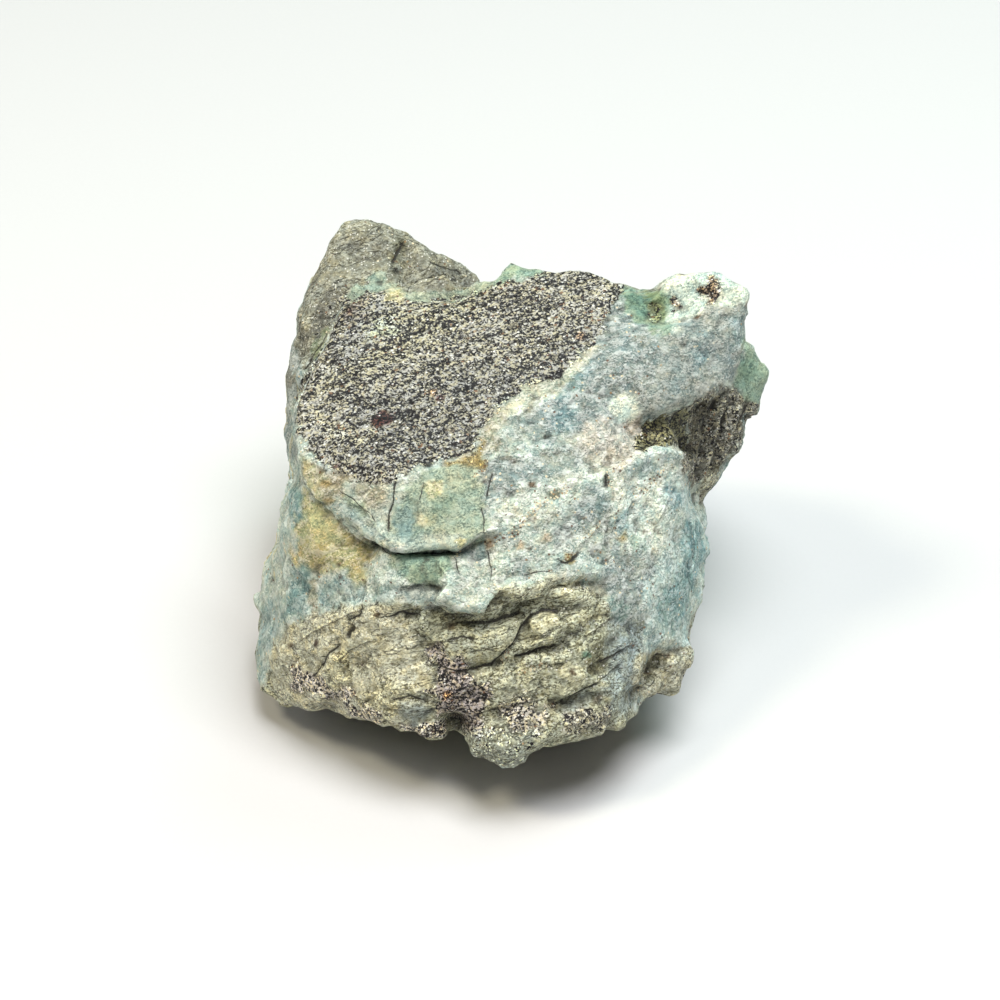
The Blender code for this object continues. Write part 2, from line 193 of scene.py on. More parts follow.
PATCHES = [
    # The slope between the top face and the lower rock.
    Patch(GREY_BLUE, PECTOLITE, [(600, 300), (640, 300), (662, 340), (664, 380), (645, 420), (600, 430),
                                 (540, 440), (520, 425), (540, 400), (575, 370)], 2.0),
    Patch(BLUE, PECTOLITE, [(556, 396), (564, 376), (578, 362), (592, 352), (594, 368), (584, 386), (570, 398)],
          1.2, 0.7),
    Patch(BLUE, PECTOLITE, [(546, 412), (566, 404), (580, 412), (576, 430), (556, 436)], 1.2, 0.5),
    Patch(PINKISH, PECTOLITE, [(590, 420), (640, 415), (640, 455), (618, 468), (590, 462), (570, 450)], 1.6, 0.8),
    Patch(CREAM, PECTOLITE, [(596, 340), (581, 350), (572, 364), (560, 378), (536, 381), (523, 388), (509, 397),
                             (497, 407), (490, 416), (482, 428), (478, 440), (488, 442), (497, 430), (508, 419),
                             (520, 410), (532, 400), (547, 393), (562, 389), (576, 373), (592, 354)], 0.6, 0.8),
    Patch(LILAC, PECTOLITE, [(474, 461), (500, 455), (521, 462), (524, 480), (512, 494), (490, 498), (478, 490)],
          0.8, 0.9),
    Patch(GREY_BLUE, PECTOLITE, [(520, 462), (560, 440), (590, 450), (585, 470), (550, 482), (524, 492)], 2.0, 0.7),
    Patch(TAN, PECTOLITE, [(484, 410), (500, 404), (508, 412), (500, 432), (496, 450), (484, 455), (478, 440)],
          0.8, 0.8),
    Patch(MUSTARD, WEATHERED, [(443, 460), (466, 455), (478, 447), (484, 442), (486, 462), (470, 474), (448, 474)],
          0.5, 0.8),
    Patch(BROWN, WEATHERED, [(500, 455), (512, 452), (521, 458), (519, 466), (506, 465)], 0.5, 0.6),
    Patch(SNOW, PECTOLITE, [(505, 498), (540, 488), (575, 470), (600, 462), (604, 478), (575, 496), (545, 515),
                            (520, 530), (500, 532), (492, 515)], 1.6, 0.55),
    Patch(GREY_BLUE, PECTOLITE, [(588, 484), (606, 488), (612, 505), (604, 520), (580, 540), (555, 548),
                                 (550, 535), (570, 512)], 1.6, 0.9),
    Patch(BLUE, PECTOLITE, [(596, 486), (608, 492), (610, 506), (600, 518), (590, 508)], 0.8, 0.5),
    Patch(SNOW, PECTOLITE, [(612, 478), (640, 474), (672, 462), (684, 480), (676, 520), (664, 560), (640, 570),
                            (622, 550), (612, 520)], 1.6),
    Patch(BLUE, PECTOLITE, [(628, 462), (655, 455), (660, 472), (640, 480), (628, 474)], 0.8, 0.6),
    Patch(BLUE, PECTOLITE, [(610, 516), (628, 512), (632, 524), (618, 534), (609, 528)], 0.6, 0.6),
    Patch(GREEN, SATIN, [(630, 534), (646, 534), (646, 552), (632, 553)], 0.8, 0.7),
    Patch(GREY_BLUE, PECTOLITE, [(600, 560), (640, 545), (668, 560), (650, 600), (625, 640), (612, 610)], 1.6, 0.7),
    # The right side's steep blue streaks.
    Patch(PALE_BLUE, UPRIGHT, [(664, 480), (720, 490), (720, 660), (640, 660), (640, 600), (660, 560)], 1.5),
    Patch(DEEP_BLUE, UPRIGHT, [(684, 520), (700, 520), (706, 545), (700, 570), (686, 572), (682, 545)], 1.2, 0.8, 1.0),
    Patch(DEEP_BLUE, UPRIGHT, [(660, 592), (676, 566), (690, 562), (698, 580), (688, 610), (678, 640),
                                 (664, 636), (656, 615)], 1.2, 0.75, 1.0),
    Patch(BLUE, PECTOLITE, [(664, 488), (676, 486), (682, 504), (676, 512), (666, 504)], 0.6, 0.7),
    Patch(TEAL, PECTOLITE, [(610, 600), (626, 598), (634, 612), (626, 624), (612, 620)], 0.8, 0.5),
    # The knob, the hollow below it, and the corner behind.
    Patch(LILAC, SATIN, [(673, 328), (690, 316), (702, 308), (720, 303), (735, 302), (752, 303), (748, 320),
                             (746, 338), (740, 370), (722, 386), (705, 395), (690, 403), (668, 411), (650, 418),
                             (640, 421), (637, 408), (643, 393), (657, 380), (662, 360), (655, 345), (660, 335)],
          0.5),
    Patch(BLUE, PECTOLITE, [(694, 346), (706, 342), (708, 358), (698, 366)], 0.7, 0.5),
    Patch(BLUE, PECTOLITE, [(728, 318), (742, 316), (742, 345), (732, 352)], 0.7, 0.5),
    Patch(GREEN, GLASSY, [(618, 285), (640, 284), (660, 286), (672, 298), (676, 322), (668, 335), (655, 333),
                             (640, 325), (622, 310)], 0.5),
    Patch(TEAL, GLASSY, [(624, 296), (634, 292), (646, 300), (650, 316), (640, 320), (630, 310)], 0.6, 0.8),
    Patch(MOSS, GLASSY, [(642, 290), (658, 290), (668, 304), (666, 320), (656, 322), (648, 306)], 0.5, 0.9),
    Patch(MINT, GLASSY, [(662, 286), (672, 274), (684, 266), (712, 266), (739, 278), (756, 288), (752, 303),
                            (735, 300), (716, 300), (702, 306), (690, 314), (677, 326), (668, 322), (672, 310),
                            (668, 298)], 0.35),
    Patch(BROWN, BASALT, [(704, 271), (716, 273), (719, 286), (717, 300), (709, 304), (706, 294), (698, 292),
                            (696, 285), (706, 284)], 0.5, 0.9),
    Patch(BROWN, BASALT, [(672, 300), (680, 302), (681, 311), (674, 310)], 0.5, 0.9),
    Patch(UMBER, BASALT, [(645, 302), (656, 303), (662, 312), (655, 320), (646, 312)], 0.8, 0.6, 1.0),
    Patch(SNOW, GLASSY, [(610, 398), (620, 393), (634, 396), (636, 408), (630, 419), (617, 418), (609, 410)],
          0.5, 0.9),
    Patch(WALL, STREAKED, [(690, 408), (699, 397), (712, 392), (721, 385), (733, 385), (742, 392), (750, 398),
                            (760, 402), (756, 420), (748, 436), (738, 450), (725, 462), (714, 478), (706, 474),
                            (698, 482), (690, 488), (684, 470), (682, 448), (686, 430)], 0.35),
    Patch(UMBER, BASALT, [(635, 435), (638, 424), (652, 418), (668, 413), (682, 409), (690, 412),
                                  (684, 430), (681, 446), (668, 446), (654, 449), (643, 453), (637, 450)], 0.3),
    Patch(CRUST, WEATHERED, [(698, 482), (706, 474), (724, 464), (716, 490), (706, 510), (698, 500)], 0.4),
    Patch(GREEN, GLASSY, [(744, 338), (756, 348), (776, 364), (776, 382), (767, 396), (757, 402), (748, 400),
                             (740, 391), (736, 378), (742, 360)], 0.35),
    Patch(TEAL, GLASSY, [(742, 352), (752, 356), (760, 372), (750, 384), (740, 376)], 0.6, 0.5),
    # The ledge's face, the plates left of it and what lies below.
    Patch(SAGE, GLASSY, [(402, 500), (406, 482), (430, 470), (455, 463), (475, 470), (484, 490), (486, 515),
                             (486, 536), (455, 547), (430, 551), (405, 547), (386, 543), (389, 525), (396, 508)],
          0.5),
    Patch(BLUE, GLASSY, [(392, 509), (411, 507), (413, 532), (403, 541), (390, 538)], 0.5, 0.7),
    Patch(TEAL, GLASSY, [(428, 500), (448, 492), (460, 500), (452, 516), (434, 520)], 1.0, 0.4),
    Patch(WHITE, GLASSY, [(391, 534), (420, 536), (452, 534), (468, 541), (455, 548), (430, 552), (405, 549),
                            (387, 545)], 0.5, 0.8),
    Patch(OCHRE, PECTOLITE, [(421, 486), (430, 480), (440, 484), (438, 496), (424, 498)], 0.6, 0.7),
    Patch(OCHRE, PECTOLITE, [(414, 516), (424, 512), (432, 520), (424, 527), (414, 524)], 0.5, 0.5),
    Patch(ORANGE, WEATHERED, [(386, 462), (400, 456), (412, 462), (408, 472), (394, 478)], 0.6, 0.6),
    Patch(TAN, PECTOLITE, [(300, 455), (330, 468), (352, 478), (346, 495), (330, 505), (308, 488), (298, 470)],
          0.6, 0.9),
    Patch(OCHRE, PECTOLITE, [(300, 456), (314, 462), (326, 474), (320, 484), (306, 478)], 0.8, 0.5),
    Patch(WHITE, GLASSY, [(344, 482), (372, 485), (395, 480), (393, 500), (390, 515), (388, 530), (384, 542),
                                 (370, 541), (352, 527), (340, 512), (336, 498)], 0.5, 0.8),
    Patch(TAN, PECTOLITE, [(352, 486), (388, 482), (386, 500), (372, 508), (356, 498)], 1.2, 0.8),
    Patch(MOSS, GLASSY, [(340, 492), (356, 500), (368, 511), (372, 520), (362, 517), (346, 506)], 0.8, 0.6),
    Patch(BLUE, PECTOLITE, [(342, 510), (356, 516), (364, 528), (352, 524), (342, 518)], 0.5, 0.5),
    Patch(OCHRE, PECTOLITE, [(300, 492), (308, 488), (322, 503), (338, 520), (352, 533), (368, 541), (376, 548),
                             (372, 560), (366, 575), (364, 590), (352, 597), (342, 592), (340, 578), (330, 575),
                             (318, 570), (308, 572), (300, 560), (290, 560), (289, 540), (296, 520), (302, 508)],
          2.2, 0.9, 1.3),
    Patch(MUSTARD, PECTOLITE, [(292, 548), (340, 552), (372, 552), (366, 575), (340, 572), (300, 562)], 1.6, 0.3, 1.5),
    Patch(WAXY, GLASSY, [(308, 505), (320, 508), (333, 520), (338, 540), (330, 548), (318, 545), (308, 530)],
          1.6, 0.9, 1.0),
    Patch(PALE_BLUE, UPRIGHT, [(330, 575), (344, 570), (350, 590), (342, 606), (330, 600)], 1.2, 0.6, 1.2),
    Patch(PALE_BLUE, UPRIGHT, [(369, 562), (396, 556), (402, 580), (398, 606), (372, 606), (366, 590)], 0.8, 0.9),
    Patch(DEEP_BLUE, UPRIGHT, [(376, 586), (386, 584), (390, 606), (378, 608)], 0.6, 0.6),
    Patch(GREEN, GLASSY, [(395, 552), (455, 550), (452, 570), (438, 584), (410, 584), (398, 570)], 0.6),
    # Painted shade: the soft teal shadow just under the ledge.
    Patch(TEAL, GLASSY, [(392, 550), (428, 552), (440, 554), (420, 563), (400, 562)], 0.6, 0.4),
    Patch(GREY_BLUE, GLASSY, [(400, 586), (442, 586), (440, 600), (412, 602), (396, 604)], 0.6, 0.9),
    Patch(WHITE, PECTOLITE, [(438, 598), (442, 588), (452, 580), (462, 560), (484, 550), (514, 548), (514, 572),
                            (496, 590), (480, 606), (466, 613), (450, 612), (440, 606)], 0.5),
    Patch(MINT, PECTOLITE, [(490, 550), (512, 550), (510, 574), (492, 578)], 0.6, 0.7),
    # The left side, in upright streaks.
    Patch(PALE_BLUE, UPRIGHT, [(240, 460), (288, 440), (300, 455), (298, 500), (290, 560), (290, 620),
                                 (276, 680), (240, 700)], 0.8),
    Patch(PALE_BLUE, UPRIGHT, [(276, 600), (318, 575), (340, 575), (366, 590), (380, 606), (340, 612), (290, 628),
                                 (272, 640)], 0.8),
    Patch(DEEP_BLUE, UPRIGHT, [(288, 488), (297, 483), (305, 492), (305, 508), (300, 520), (291, 516)], 0.6, 0.8),
    Patch(DEEP_BLUE, UPRIGHT, [(298, 562), (309, 560), (312, 575), (311, 592), (300, 616), (284, 618), (280, 600),
                                 (294, 585)], 0.7, 0.75),
    Patch(BLUE, UPRIGHT, [(320, 580), (336, 579), (340, 600), (332, 614), (320, 610)], 0.7, 0.6),
    Patch(TAN, UPRIGHT, [(309, 583), (318, 580), (320, 600), (318, 619), (310, 617)], 0.6, 0.8),
    Patch(WHITE, UPRIGHT, [(266, 540), (286, 530), (288, 560), (282, 600), (264, 604)], 0.6, 0.8),
    Patch(BLUE, UPRIGHT, [(257, 608), (280, 600), (280, 640), (262, 652)], 0.8, 0.5),
    Patch(BLUE, UPRIGHT, [(253, 642), (262, 640), (264, 680), (256, 684)], 0.5, 0.7),
    # The lower rock.
    Patch(OLIVE, MATRIX, LOWER_ROCK, 0.6),
    # A paler, calmer patch over the lower rock's left: the calmer grain is the rock's own, the paler tone painted light
    # for the stronger light on this side.
    Patch(PALE_LIT_EARTH, EVEN, [(276, 640), (290, 626), (320, 612), (360, 606), (400, 604), (420, 640), (430, 690),
                          (400, 730), (340, 720), (280, 700), (264, 660)], 1.6, 0.75),
    Patch(CREAM, WEATHERED, [(500, 590), (520, 580), (545, 576), (575, 576), (600, 588), (606, 604), (576, 592),
                             (545, 588), (520, 592), (504, 600)], 1.2, 0.6, 1.4),
    Patch(PALE_OLIVE, MATRIX, [(318, 690), (330, 660), (346, 648), (354, 668), (344, 690), (326, 698)], 0.6, 0.9),
    Patch(PALE_OLIVE, MATRIX, [(358, 690), (390, 682), (420, 686), (412, 706), (384, 722), (362, 714)], 0.8, 0.9),
    # Painted shadow: the next patch darkens the rock under the white lump's overhang, the one after it a place in shade
    # at the lower right.
    Patch(DARK_OLIVE, MATRIX, [(420, 612), (470, 616), (470, 628), (440, 632), (420, 626)], 0.8, 0.5),
    Patch(DARK_OLIVE, MATRIX, [(586, 640), (618, 640), (618, 672), (590, 672)], 1.2, 0.8),
    Patch(DARK_OLIVE, MATRIX, [(513, 640), (524, 622), (540, 610), (560, 608), (556, 616), (536, 622), (528, 636)],
          0.4, 0.6),
    Patch(PALE_OLIVE, EVEN, [(530, 622), (536, 612), (546, 609), (557, 613), (558, 625), (546, 635), (534, 632)],
          0.3, 0.7, 0.2),
    # Painted shade: a dark crescent on the upper left inside the vug.
    Patch(DARK_OLIVE, EVEN, [(537, 624), (540, 615), (548, 613), (552, 617), (545, 619), (541, 627)], 0.3, 0.8, 0.1),
    Patch(PALE_OLIVE, EVEN, [(560, 668), (568, 662), (580, 664), (588, 674), (582, 684), (568, 684), (561, 678)],
          0.4, 0.6, 0.3),
    Patch(OLIVE, EVEN, [(468, 632), (500, 624), (516, 630), (508, 652), (488, 664), (464, 664)], 0.8, 0.5),
    Patch(OLIVE, EVEN, [(510, 662), (535, 652), (560, 650), (556, 672), (530, 684), (505, 694), (500, 676)], 0.8, 0.35),
    Patch(GREY_BLUE, EVEN, [(556, 712), (575, 700), (600, 686), (622, 672), (624, 684), (600, 700), (575, 712)],
          0.6, 0.5),
    Patch(PURPLE, BASALT, [(428, 650), (440, 646), (456, 658), (476, 664), (488, 690), (484, 716), (494, 732),
                           (470, 736), (452, 722), (434, 710), (432, 680)], 1.6, 0.95, 1.5),
    Patch(PURPLE, BASALT, [(500, 704), (528, 698), (548, 706), (544, 728), (508, 728)], 1.8, 0.8, 1.6),
    Patch(MAUVE, BASALT, [(290, 668), (312, 672), (330, 684), (352, 690), (350, 702), (320, 698), (292, 688)],
          0.7, 0.9),
    Patch(MAUVE, BASALT, [(340, 700), (360, 704), (382, 712), (380, 724), (350, 716)], 0.6, 0.8),
    Patch(MAUVE, BASALT, [(396, 722), (446, 722), (448, 742), (410, 736)], 0.6, 0.8),
    Patch(GREY_BLUE, BASALT, [(466, 730), (535, 732), (540, 775), (470, 775)], 0.8, 0.4),
    Patch(PURPLE, BASALT, [(560, 712), (610, 706), (612, 730), (564, 732)], 0.8, 0.6),
    Patch(GREY_BLUE, MATRIX, [(398, 702), (424, 698), (430, 712), (418, 724), (402, 720)], 0.6, 0.7),
    Patch(GREY_BLUE, EVEN, [(608, 625), (640, 620), (650, 660), (640, 700), (618, 720), (606, 700), (608, 660)],
          1.0, 0.8),
    Patch(MINT, MATRIX, [(610, 674), (622, 672), (626, 706), (612, 712)], 0.8, 0.5),
    Patch(CRUST, EVEN, [(634, 660), (655, 648), (690, 644), (700, 660), (694, 700), (650, 706), (632, 690)], 0.6),
    Patch(DARK_OLIVE, MATRIX, [(644, 662), (654, 658), (658, 668), (650, 684), (642, 682)], 0.6, 0.8),
    # The peak and the strip left of it.
    Patch(GREY_BLUE, UPRIGHT, [(270, 460), (270, 380), (285, 320), (303, 290), (310, 330), (306, 380), (297, 404),
                                 (296, 440), (300, 458)], 0.8),
    Patch(PEAK, EVEN, PEAK_FACE, 0.5),
    Patch(STONE, STREAKED, [(318, 300), (334, 280), (346, 292), (340, 312), (330, 334), (314, 345), (310, 320)],
          0.8, 0.7),
    Patch(UMBER, EVEN, [(398, 236), (405, 242), (402, 260), (394, 268), (390, 254)], 1.2, 0.7, 1.2),
    Patch(DARK_STONE, EVEN, [(360, 236), (384, 240), (392, 250), (376, 256), (358, 250)], 1.6, 0.5, 1.5),
    Patch(DARK_STONE, EVEN, [(424, 258), (450, 266), (470, 280), (450, 288), (424, 276)], 1.6, 0.5, 1.5),
    Patch(MOSS, PECTOLITE, [(322, 330), (332, 328), (330, 344), (316, 364), (312, 350)], 0.5, 0.6),
    Patch(WALL, STREAKED, [(300, 330), (310, 326), (311, 345), (304, 347)], 0.5, 0.7),
    Patch(WALL, WEATHERED, [(283, 365), (290, 366), (292, 384), (285, 388)], 0.4, 0.7),
    # The top face, over all that borders on it.
    Patch(STONE, BASALT, TOP_FACE, 0.35),
    Patch(DARK_STONE, BASALT, [(380, 392), (420, 380), (480, 366), (540, 352), (590, 320), (606, 330), (560, 376),
                               (520, 388), (490, 414), (470, 452), (430, 462), (360, 470), (320, 450), (330, 425)],
          2.0, 0.7),
    Patch(PALE_STONE, BASALT, [(330, 350), (350, 306), (400, 302), (450, 300), (500, 290), (440, 340), (380, 372),
                               (320, 390)], 2.5, 0.7),
    Patch(DARK_STONE, BASALT, [(326, 356), (346, 300), (388, 300), (384, 340), (340, 372)], 1.5, 0.9),
    Patch(DARK_STONE, BASALT, [(455, 384), (474, 378), (484, 390), (470, 402), (452, 396)], 1.4, 0.8, 1.4),
    Patch(DARK_STONE, BASALT, [(366, 414), (400, 410), (410, 424), (386, 432), (364, 428)], 1.4, 0.7, 1.4),
    Patch(DARK_STONE, BASALT, [(430, 424), (470, 416), (474, 440), (446, 448), (428, 440)], 1.4, 0.7, 1.4),
    Patch(CREAM, BASALT, [(312, 412), (340, 424), (372, 430), (366, 440), (330, 436)], 1.4, 0.12, 1.4),
    Patch(GREEN, GLASSY, [(499, 266), (510, 262), (535, 266), (540, 272), (520, 276), (497, 281)], 0.3),
    Patch(SAGE, GLASSY, [(348, 296), (356, 285), (370, 278), (385, 275), (396, 282), (405, 289), (420, 293),
                         (440, 294), (461, 291), (476, 284), (497, 278), (497, 284), (478, 291), (462, 298),
                         (440, 300), (410, 301), (396, 297), (380, 290), (366, 290), (352, 300)], 0.3, 0.9),
    Patch(OCHRE, PECTOLITE, [(388, 288), (400, 288), (404, 298), (394, 302)], 0.5, 0.7),
    Patch(BROWN, BASALT, [(340, 302), (352, 293), (366, 298), (362, 316), (344, 320)], 1.2, 0.2, 1.2),
    Patch(SAGE, WEATHERED, [(366, 324), (390, 321), (394, 332), (376, 338)], 1.4, 0.3, 1.2),
]

# Thin lines painted near-black: painted shade in the cracks, each also carved as a shallow groove.
CRACKS_AND_SHADOW_LINES = [
    Line([(395, 483), (393, 500), (389, 512), (388, 530)], 0.09), Line([(482, 509), (484, 520), (484, 534)], 0.06),
    Line([(488, 552), (491, 570), (490, 580)], 0.06), Line([(457, 562), (459, 574)], 0.07),
    Line([(493, 473), (489, 486), (487, 496)], 0.07), Line([(312, 678), (322, 664), (330, 652), (338, 646)], 0.10),
    Line([(347, 637), (351, 628)], 0.20), Line([(348, 621), (358, 616), (362, 606)], 0.10),
    Line([(456, 672), (478, 667), (493, 663), (505, 650), (513, 643), (520, 628), (530, 616), (542, 609), (557, 610)],
         0.12),
    Line([(466, 622), (478, 621), (490, 621), (505, 616), (520, 612)], 0.12),
    # The two lines from (374, 543) to (452, 550) are no cracks: they paint the ledge's shadow line.
    Line([(516, 656), (530, 652), (540, 648), (554, 645)], 0.14), Line([(374, 543), (386, 548), (400, 551)], 0.05),
    Line([(400, 551), (415, 552), (430, 553), (452, 550)], 0.04), Line([(424, 483), (420, 500)], 0.06),
    Line([(366, 511), (372, 515), (374, 520)], 0.05), Line([(340, 492), (352, 498), (362, 507)], 0.04),
    Line([(600, 661), (612, 655), (622, 650)], 0.10), Line([(433, 665), (446, 668), (458, 671)], 0.08),
    Line([(393, 700), (410, 696), (424, 702)], 0.09), Line([(570, 700), (584, 690), (598, 684)], 0.10),
    Line([(524, 575), (540, 571), (556, 573)], 0.05), Line([(450, 640), (462, 636), (474, 640)], 0.10),
    Line([(304, 370), (316, 352), (328, 334)], 0.08), Line([(700, 432), (708, 416), (718, 402)], 0.14),
    Line([(714, 446), (722, 428), (730, 408)], 0.12), Line([(736, 440), (742, 422), (748, 408)], 0.12),
    Line([(559, 560), (566, 563), (573, 560), (578, 553)], 0.16), Line([(606, 474), (607, 486)], 0.16), Line([(380, 618), (400, 614), (420, 616)], 0.08),
    Line([(402, 243), (398, 252), (394, 261)], 0.12), Line([(430, 262), (446, 268), (460, 272)], 0.06),
]

VEINS = [
    Line([(514, 533), (523, 520), (541, 503), (552, 499)], 0.22), Line([(560, 493), (569, 489)], 0.18),
    Line([(662, 469), (652, 482), (645, 490), (636, 495)], 0.18), Line([(608, 474), (612, 469), (624, 468)], 0.20),
    Line([(486, 543), (500, 538), (512, 534)], 0.24), Line([(583, 536), (593, 533), (600, 522)], 0.14),
    Line([(476, 476), (484, 470), (486, 462)], 0.14), Line([(620, 505), (614, 520), (616, 534)], 0.10),
    Line([(563, 558), (570, 557), (575, 552)], 0.20), Line([(551, 496), (560, 494)], 0.30),
    Line([(512, 640), (506, 654), (500, 662)], 0.12), Line([(520, 674), (532, 668), (548, 664)], 0.16),
]

STEPS = [
    Step([(456, 672), (478, 667), (493, 663), (505, 650), (513, 643), (520, 628), (530, 616), (542, 609), (557, 610)],
         0.22, 1.0),
    Step([(466, 622), (490, 621), (520, 612)], 0.2, 0.9), Step([(516, 656), (540, 648), (556, 645)], 0.25, 0.9),
    Step([(556, 628), (548, 636), (532, 640)], 0.35, 0.7), Step([(584, 636), (600, 626), (612, 616)], 0.25, 0.9),
    Step([(600, 661), (612, 655), (630, 645)], 0.2, 0.9), Step([(340, 660), (352, 648), (372, 640)], 0.15, 0.8),
    Step([(430, 601), (452, 614), (470, 613), (488, 600), (500, 590)], 0.3, 0.9),
    Step([(300, 640), (330, 622), (362, 608)], 0.12, 0.9), Step([(505, 534), (523, 521), (541, 503)], 0.07, 0.7),
    Step([(575, 548), (590, 536), (604, 522), (612, 515)], 0.07, 0.6), Step([(440, 566), (448, 582), (441, 596)], 0.35, 0.8),
    Step([(404, 586), (424, 584), (441, 587)], 0.12, 0.6), Step([(376, 482), (360, 500), (340, 500)], 0.08, 0.8),
    Step([(645, 545), (660, 520), (668, 500)], 0.07, 0.7), Step([(690, 520), (694, 548), (690, 580)], 0.12, 0.7),
    Step([(706, 474), (716, 440), (728, 400)], 0.5, 0.8), Step([(724, 462), (736, 430), (744, 400)], 0.5, 0.8),
    Step([(694, 470), (700, 440), (708, 410)], 0.4, 0.7), Step([(470, 716), (500, 706), (530, 700)], 0.2, 0.9),
    Step([(560, 700), (590, 688), (620, 664)], 0.2, 0.9),
    Step([(296, 462), (300, 475), (311, 492), (322, 503), (340, 520), (356, 537), (372, 547)], 0.14, 0.9),
    Step([(344, 499), (364, 508), (375, 527), (387, 539)], 0.14, 0.8),
]

RIDGES = [
    Ridge([(456, 561), (430, 563), (410, 562), (392, 558)], 1.1, 1.4),
    Ridge([(440, 597), (424, 597), (404, 597)], 0.7, 1.1),
    Ridge([(486, 607), (505, 597), (525, 591), (550, 590), (578, 596)], 1.0, 1.4),
    Ridge([(533, 624), (536, 614), (546, 611), (556, 616), (555, 626), (544, 633)], 0.25, 0.5),
]

PUSHES = [
    # The peak and the rear rim.
    Push(345, 221, -6, -3, 10), Push(296, 318, -3, 0), Push(284, 378, -4, 0, 20), Push(470, 270, 0, -4, 20),
    Push(508, 264, 0, -6, 14), Push(496, 282, 0, 5, 8), Push(592, 272, 0, -3, 12),
    # The knob and the corner behind it.
    Push(652, 286, 0, 10, 14), Push(682, 270, -2, -6, 10), Push(711, 272, 0, 3, 10), Push(754, 289, 4, -2, 8),
    Push(747, 312, -6, 0, 12), Push(770, 374, 5, 0, 12), Push(754, 424, 4, 0, 14), Push(736, 456, 4, 0, 12),
    Push(708, 496, -12, 0, 16), Push(708, 555, 6, 0, 30), Push(700, 602, 4, 0, 14),
    # The foot, from the right.
    Push(688, 676, -7, -3, 14), Push(660, 695, 0, -4, 12), Push(638, 705, 0, -16, 14), Push(552, 745, 0, 5, 20),
    Push(472, 750, -2, 3, 10), Push(443, 740, 0, 5, 8), Push(456, 730, 0, -14, 13), Push(424, 737, 0, 6, 10), Push(328, 711, 0, -7, 14),
    Push(259, 684, -4, 0, 12),
    # The left side, upward.
    Push(258, 617, 8, 0, 12), Push(264, 565, -6, 0, 22), Push(276, 526, -4, 0, 12), Push(288, 478, 7, 0, 14),
    Push(284, 436, -4, 0, 12),
]

SPOTS = [
    # The knob's pits.
    Spot(BROWN, 661, 287, 0.25), Spot(BROWN, 683, 271, 0.25), Spot(BROWN, 748, 306, 0.2),
    Spot(BROWN, 696, 315, 0.2), Spot(BLACK, 683, 345, 0.25),
    # The slope's.
    Spot(BLACK, 606, 481, 0.35), Spot(UMBER, 553, 496, 0.5), Spot(UMBER, 558, 494, 0.55), Spot(RED, 539, 513, 0.25), Spot(RED, 534, 518, 0.2), Spot(RED, 484, 482, 0.2),
    Spot(MUSTARD, 569, 557, 0.6, 0.8),
    Spot(ORANGE, 521, 543, 0.5, 0.5), Spot(ORANGE, 545, 539, 0.6, 0.4), Spot(ORANGE, 490, 544, 0.6, 0.6),
    Spot(BROWN, 501, 544, 0.25), Spot(BROWN, 529, 549, 0.2), Spot(BROWN, 582, 518, 0.2), Spot(BROWN, 636, 522, 0.25),
    Spot(BROWN, 643, 531, 0.2), Spot(BROWN, 659, 533, 0.2), Spot(MUSTARD, 620, 538, 0.4, 0.6),
    Spot(MUSTARD, 626, 534, 0.4, 0.6), Spot(BLACK, 549, 436, 0.3), Spot(BROWN, 531, 484, 0.2), Spot(BROWN, 536, 486, 0.15),
    Spot(BLACK, 446, 535, 0.15), Spot(BLACK, 432, 553, 0.2), Spot(RED, 428, 562, 0.3, 0.7), Spot(RED, 423, 568, 0.25, 0.5),
    Spot(RED, 341, 568, 0.3), Spot(RED, 340, 578, 0.35), Spot(BLACK, 272, 580, 0.25), Spot(BLACK, 429, 464, 0.35),
    Spot(MUSTARD, 326, 482, 0.5, 0.6), Spot(MUSTARD, 330, 500, 0.5, 0.6), Spot(OCHRE, 459, 541, 0.5, 0.8),
    # The top face's garnets and flecks.
    Spot(RED, 385, 418, 0.8), Spot(RED, 376, 422, 0.5), Spot(RED, 443, 399, 0.45), Spot(ORANGE, 582, 335, 0.5, 0.3),
    Spot(RED, 451, 430, 0.4, 0.5), Spot(RED, 337, 467, 0.3), Spot(ORANGE, 434, 392, 0.3, 0.25), Spot(RED, 350, 310, 0.3),
    # The lower rock's.
    Spot(RED, 314, 643, 0.25), Spot(BROWN, 291, 646, 0.25), Spot(RED, 363, 664, 0.2), Spot(PURPLE, 434, 650, 0.8, 0.7),
    Spot(TEAL, 586, 655, 0.4), Spot(BROWN, 572, 673, 0.35), Spot(RED, 600, 699, 0.5, 0.6), Spot(RED, 553, 656, 0.2),
    Spot(BROWN, 377, 614, 0.2), Spot(BROWN, 452, 627, 0.3, 0.6), Spot(BROWN, 648, 672, 0.4), Spot(BROWN, 666, 654, 0.3),
    Spot(ORANGE, 449, 697, 0.3), Spot(BLACK, 398, 272, 0.3), Spot(BLACK, 380, 283, 0.3),
]


def linear(colour):
    """The colour's red, green and blue as a shader takes them."""
    share = np.array(colour, float) / 255.0
    return np.where(share <= 0.04045, share / 12.92, ((share + 0.055) / 1.055) ** 2.4)


def ramp(x, low, high):
    """0 up to low, 1 from high on, and a smooth rise between them."""
    t = np.clip((x - low) / (high - low), 0.0, 1.0)
    return t * t * (3.0 - 2.0 * t)


def scatter(cells, seed):
    """A repeatable random number from 0 to 1 for each whole-number cell."""
    x, y, z = np.moveaxis(cells.astype(np.int64), -1, 0)
    mixed = x * 374761393 + y * 668265263 + z * 1440662683 + seed * 974634777
    mixed = (mixed ^ (mixed >> 13)) & 0x7FFFFFFF
    mixed = (mixed * 1274126177) & 0x7FFFFFFF
    mixed = mixed ^ (mixed >> 15)
    return mixed / 0x7FFFFFFF


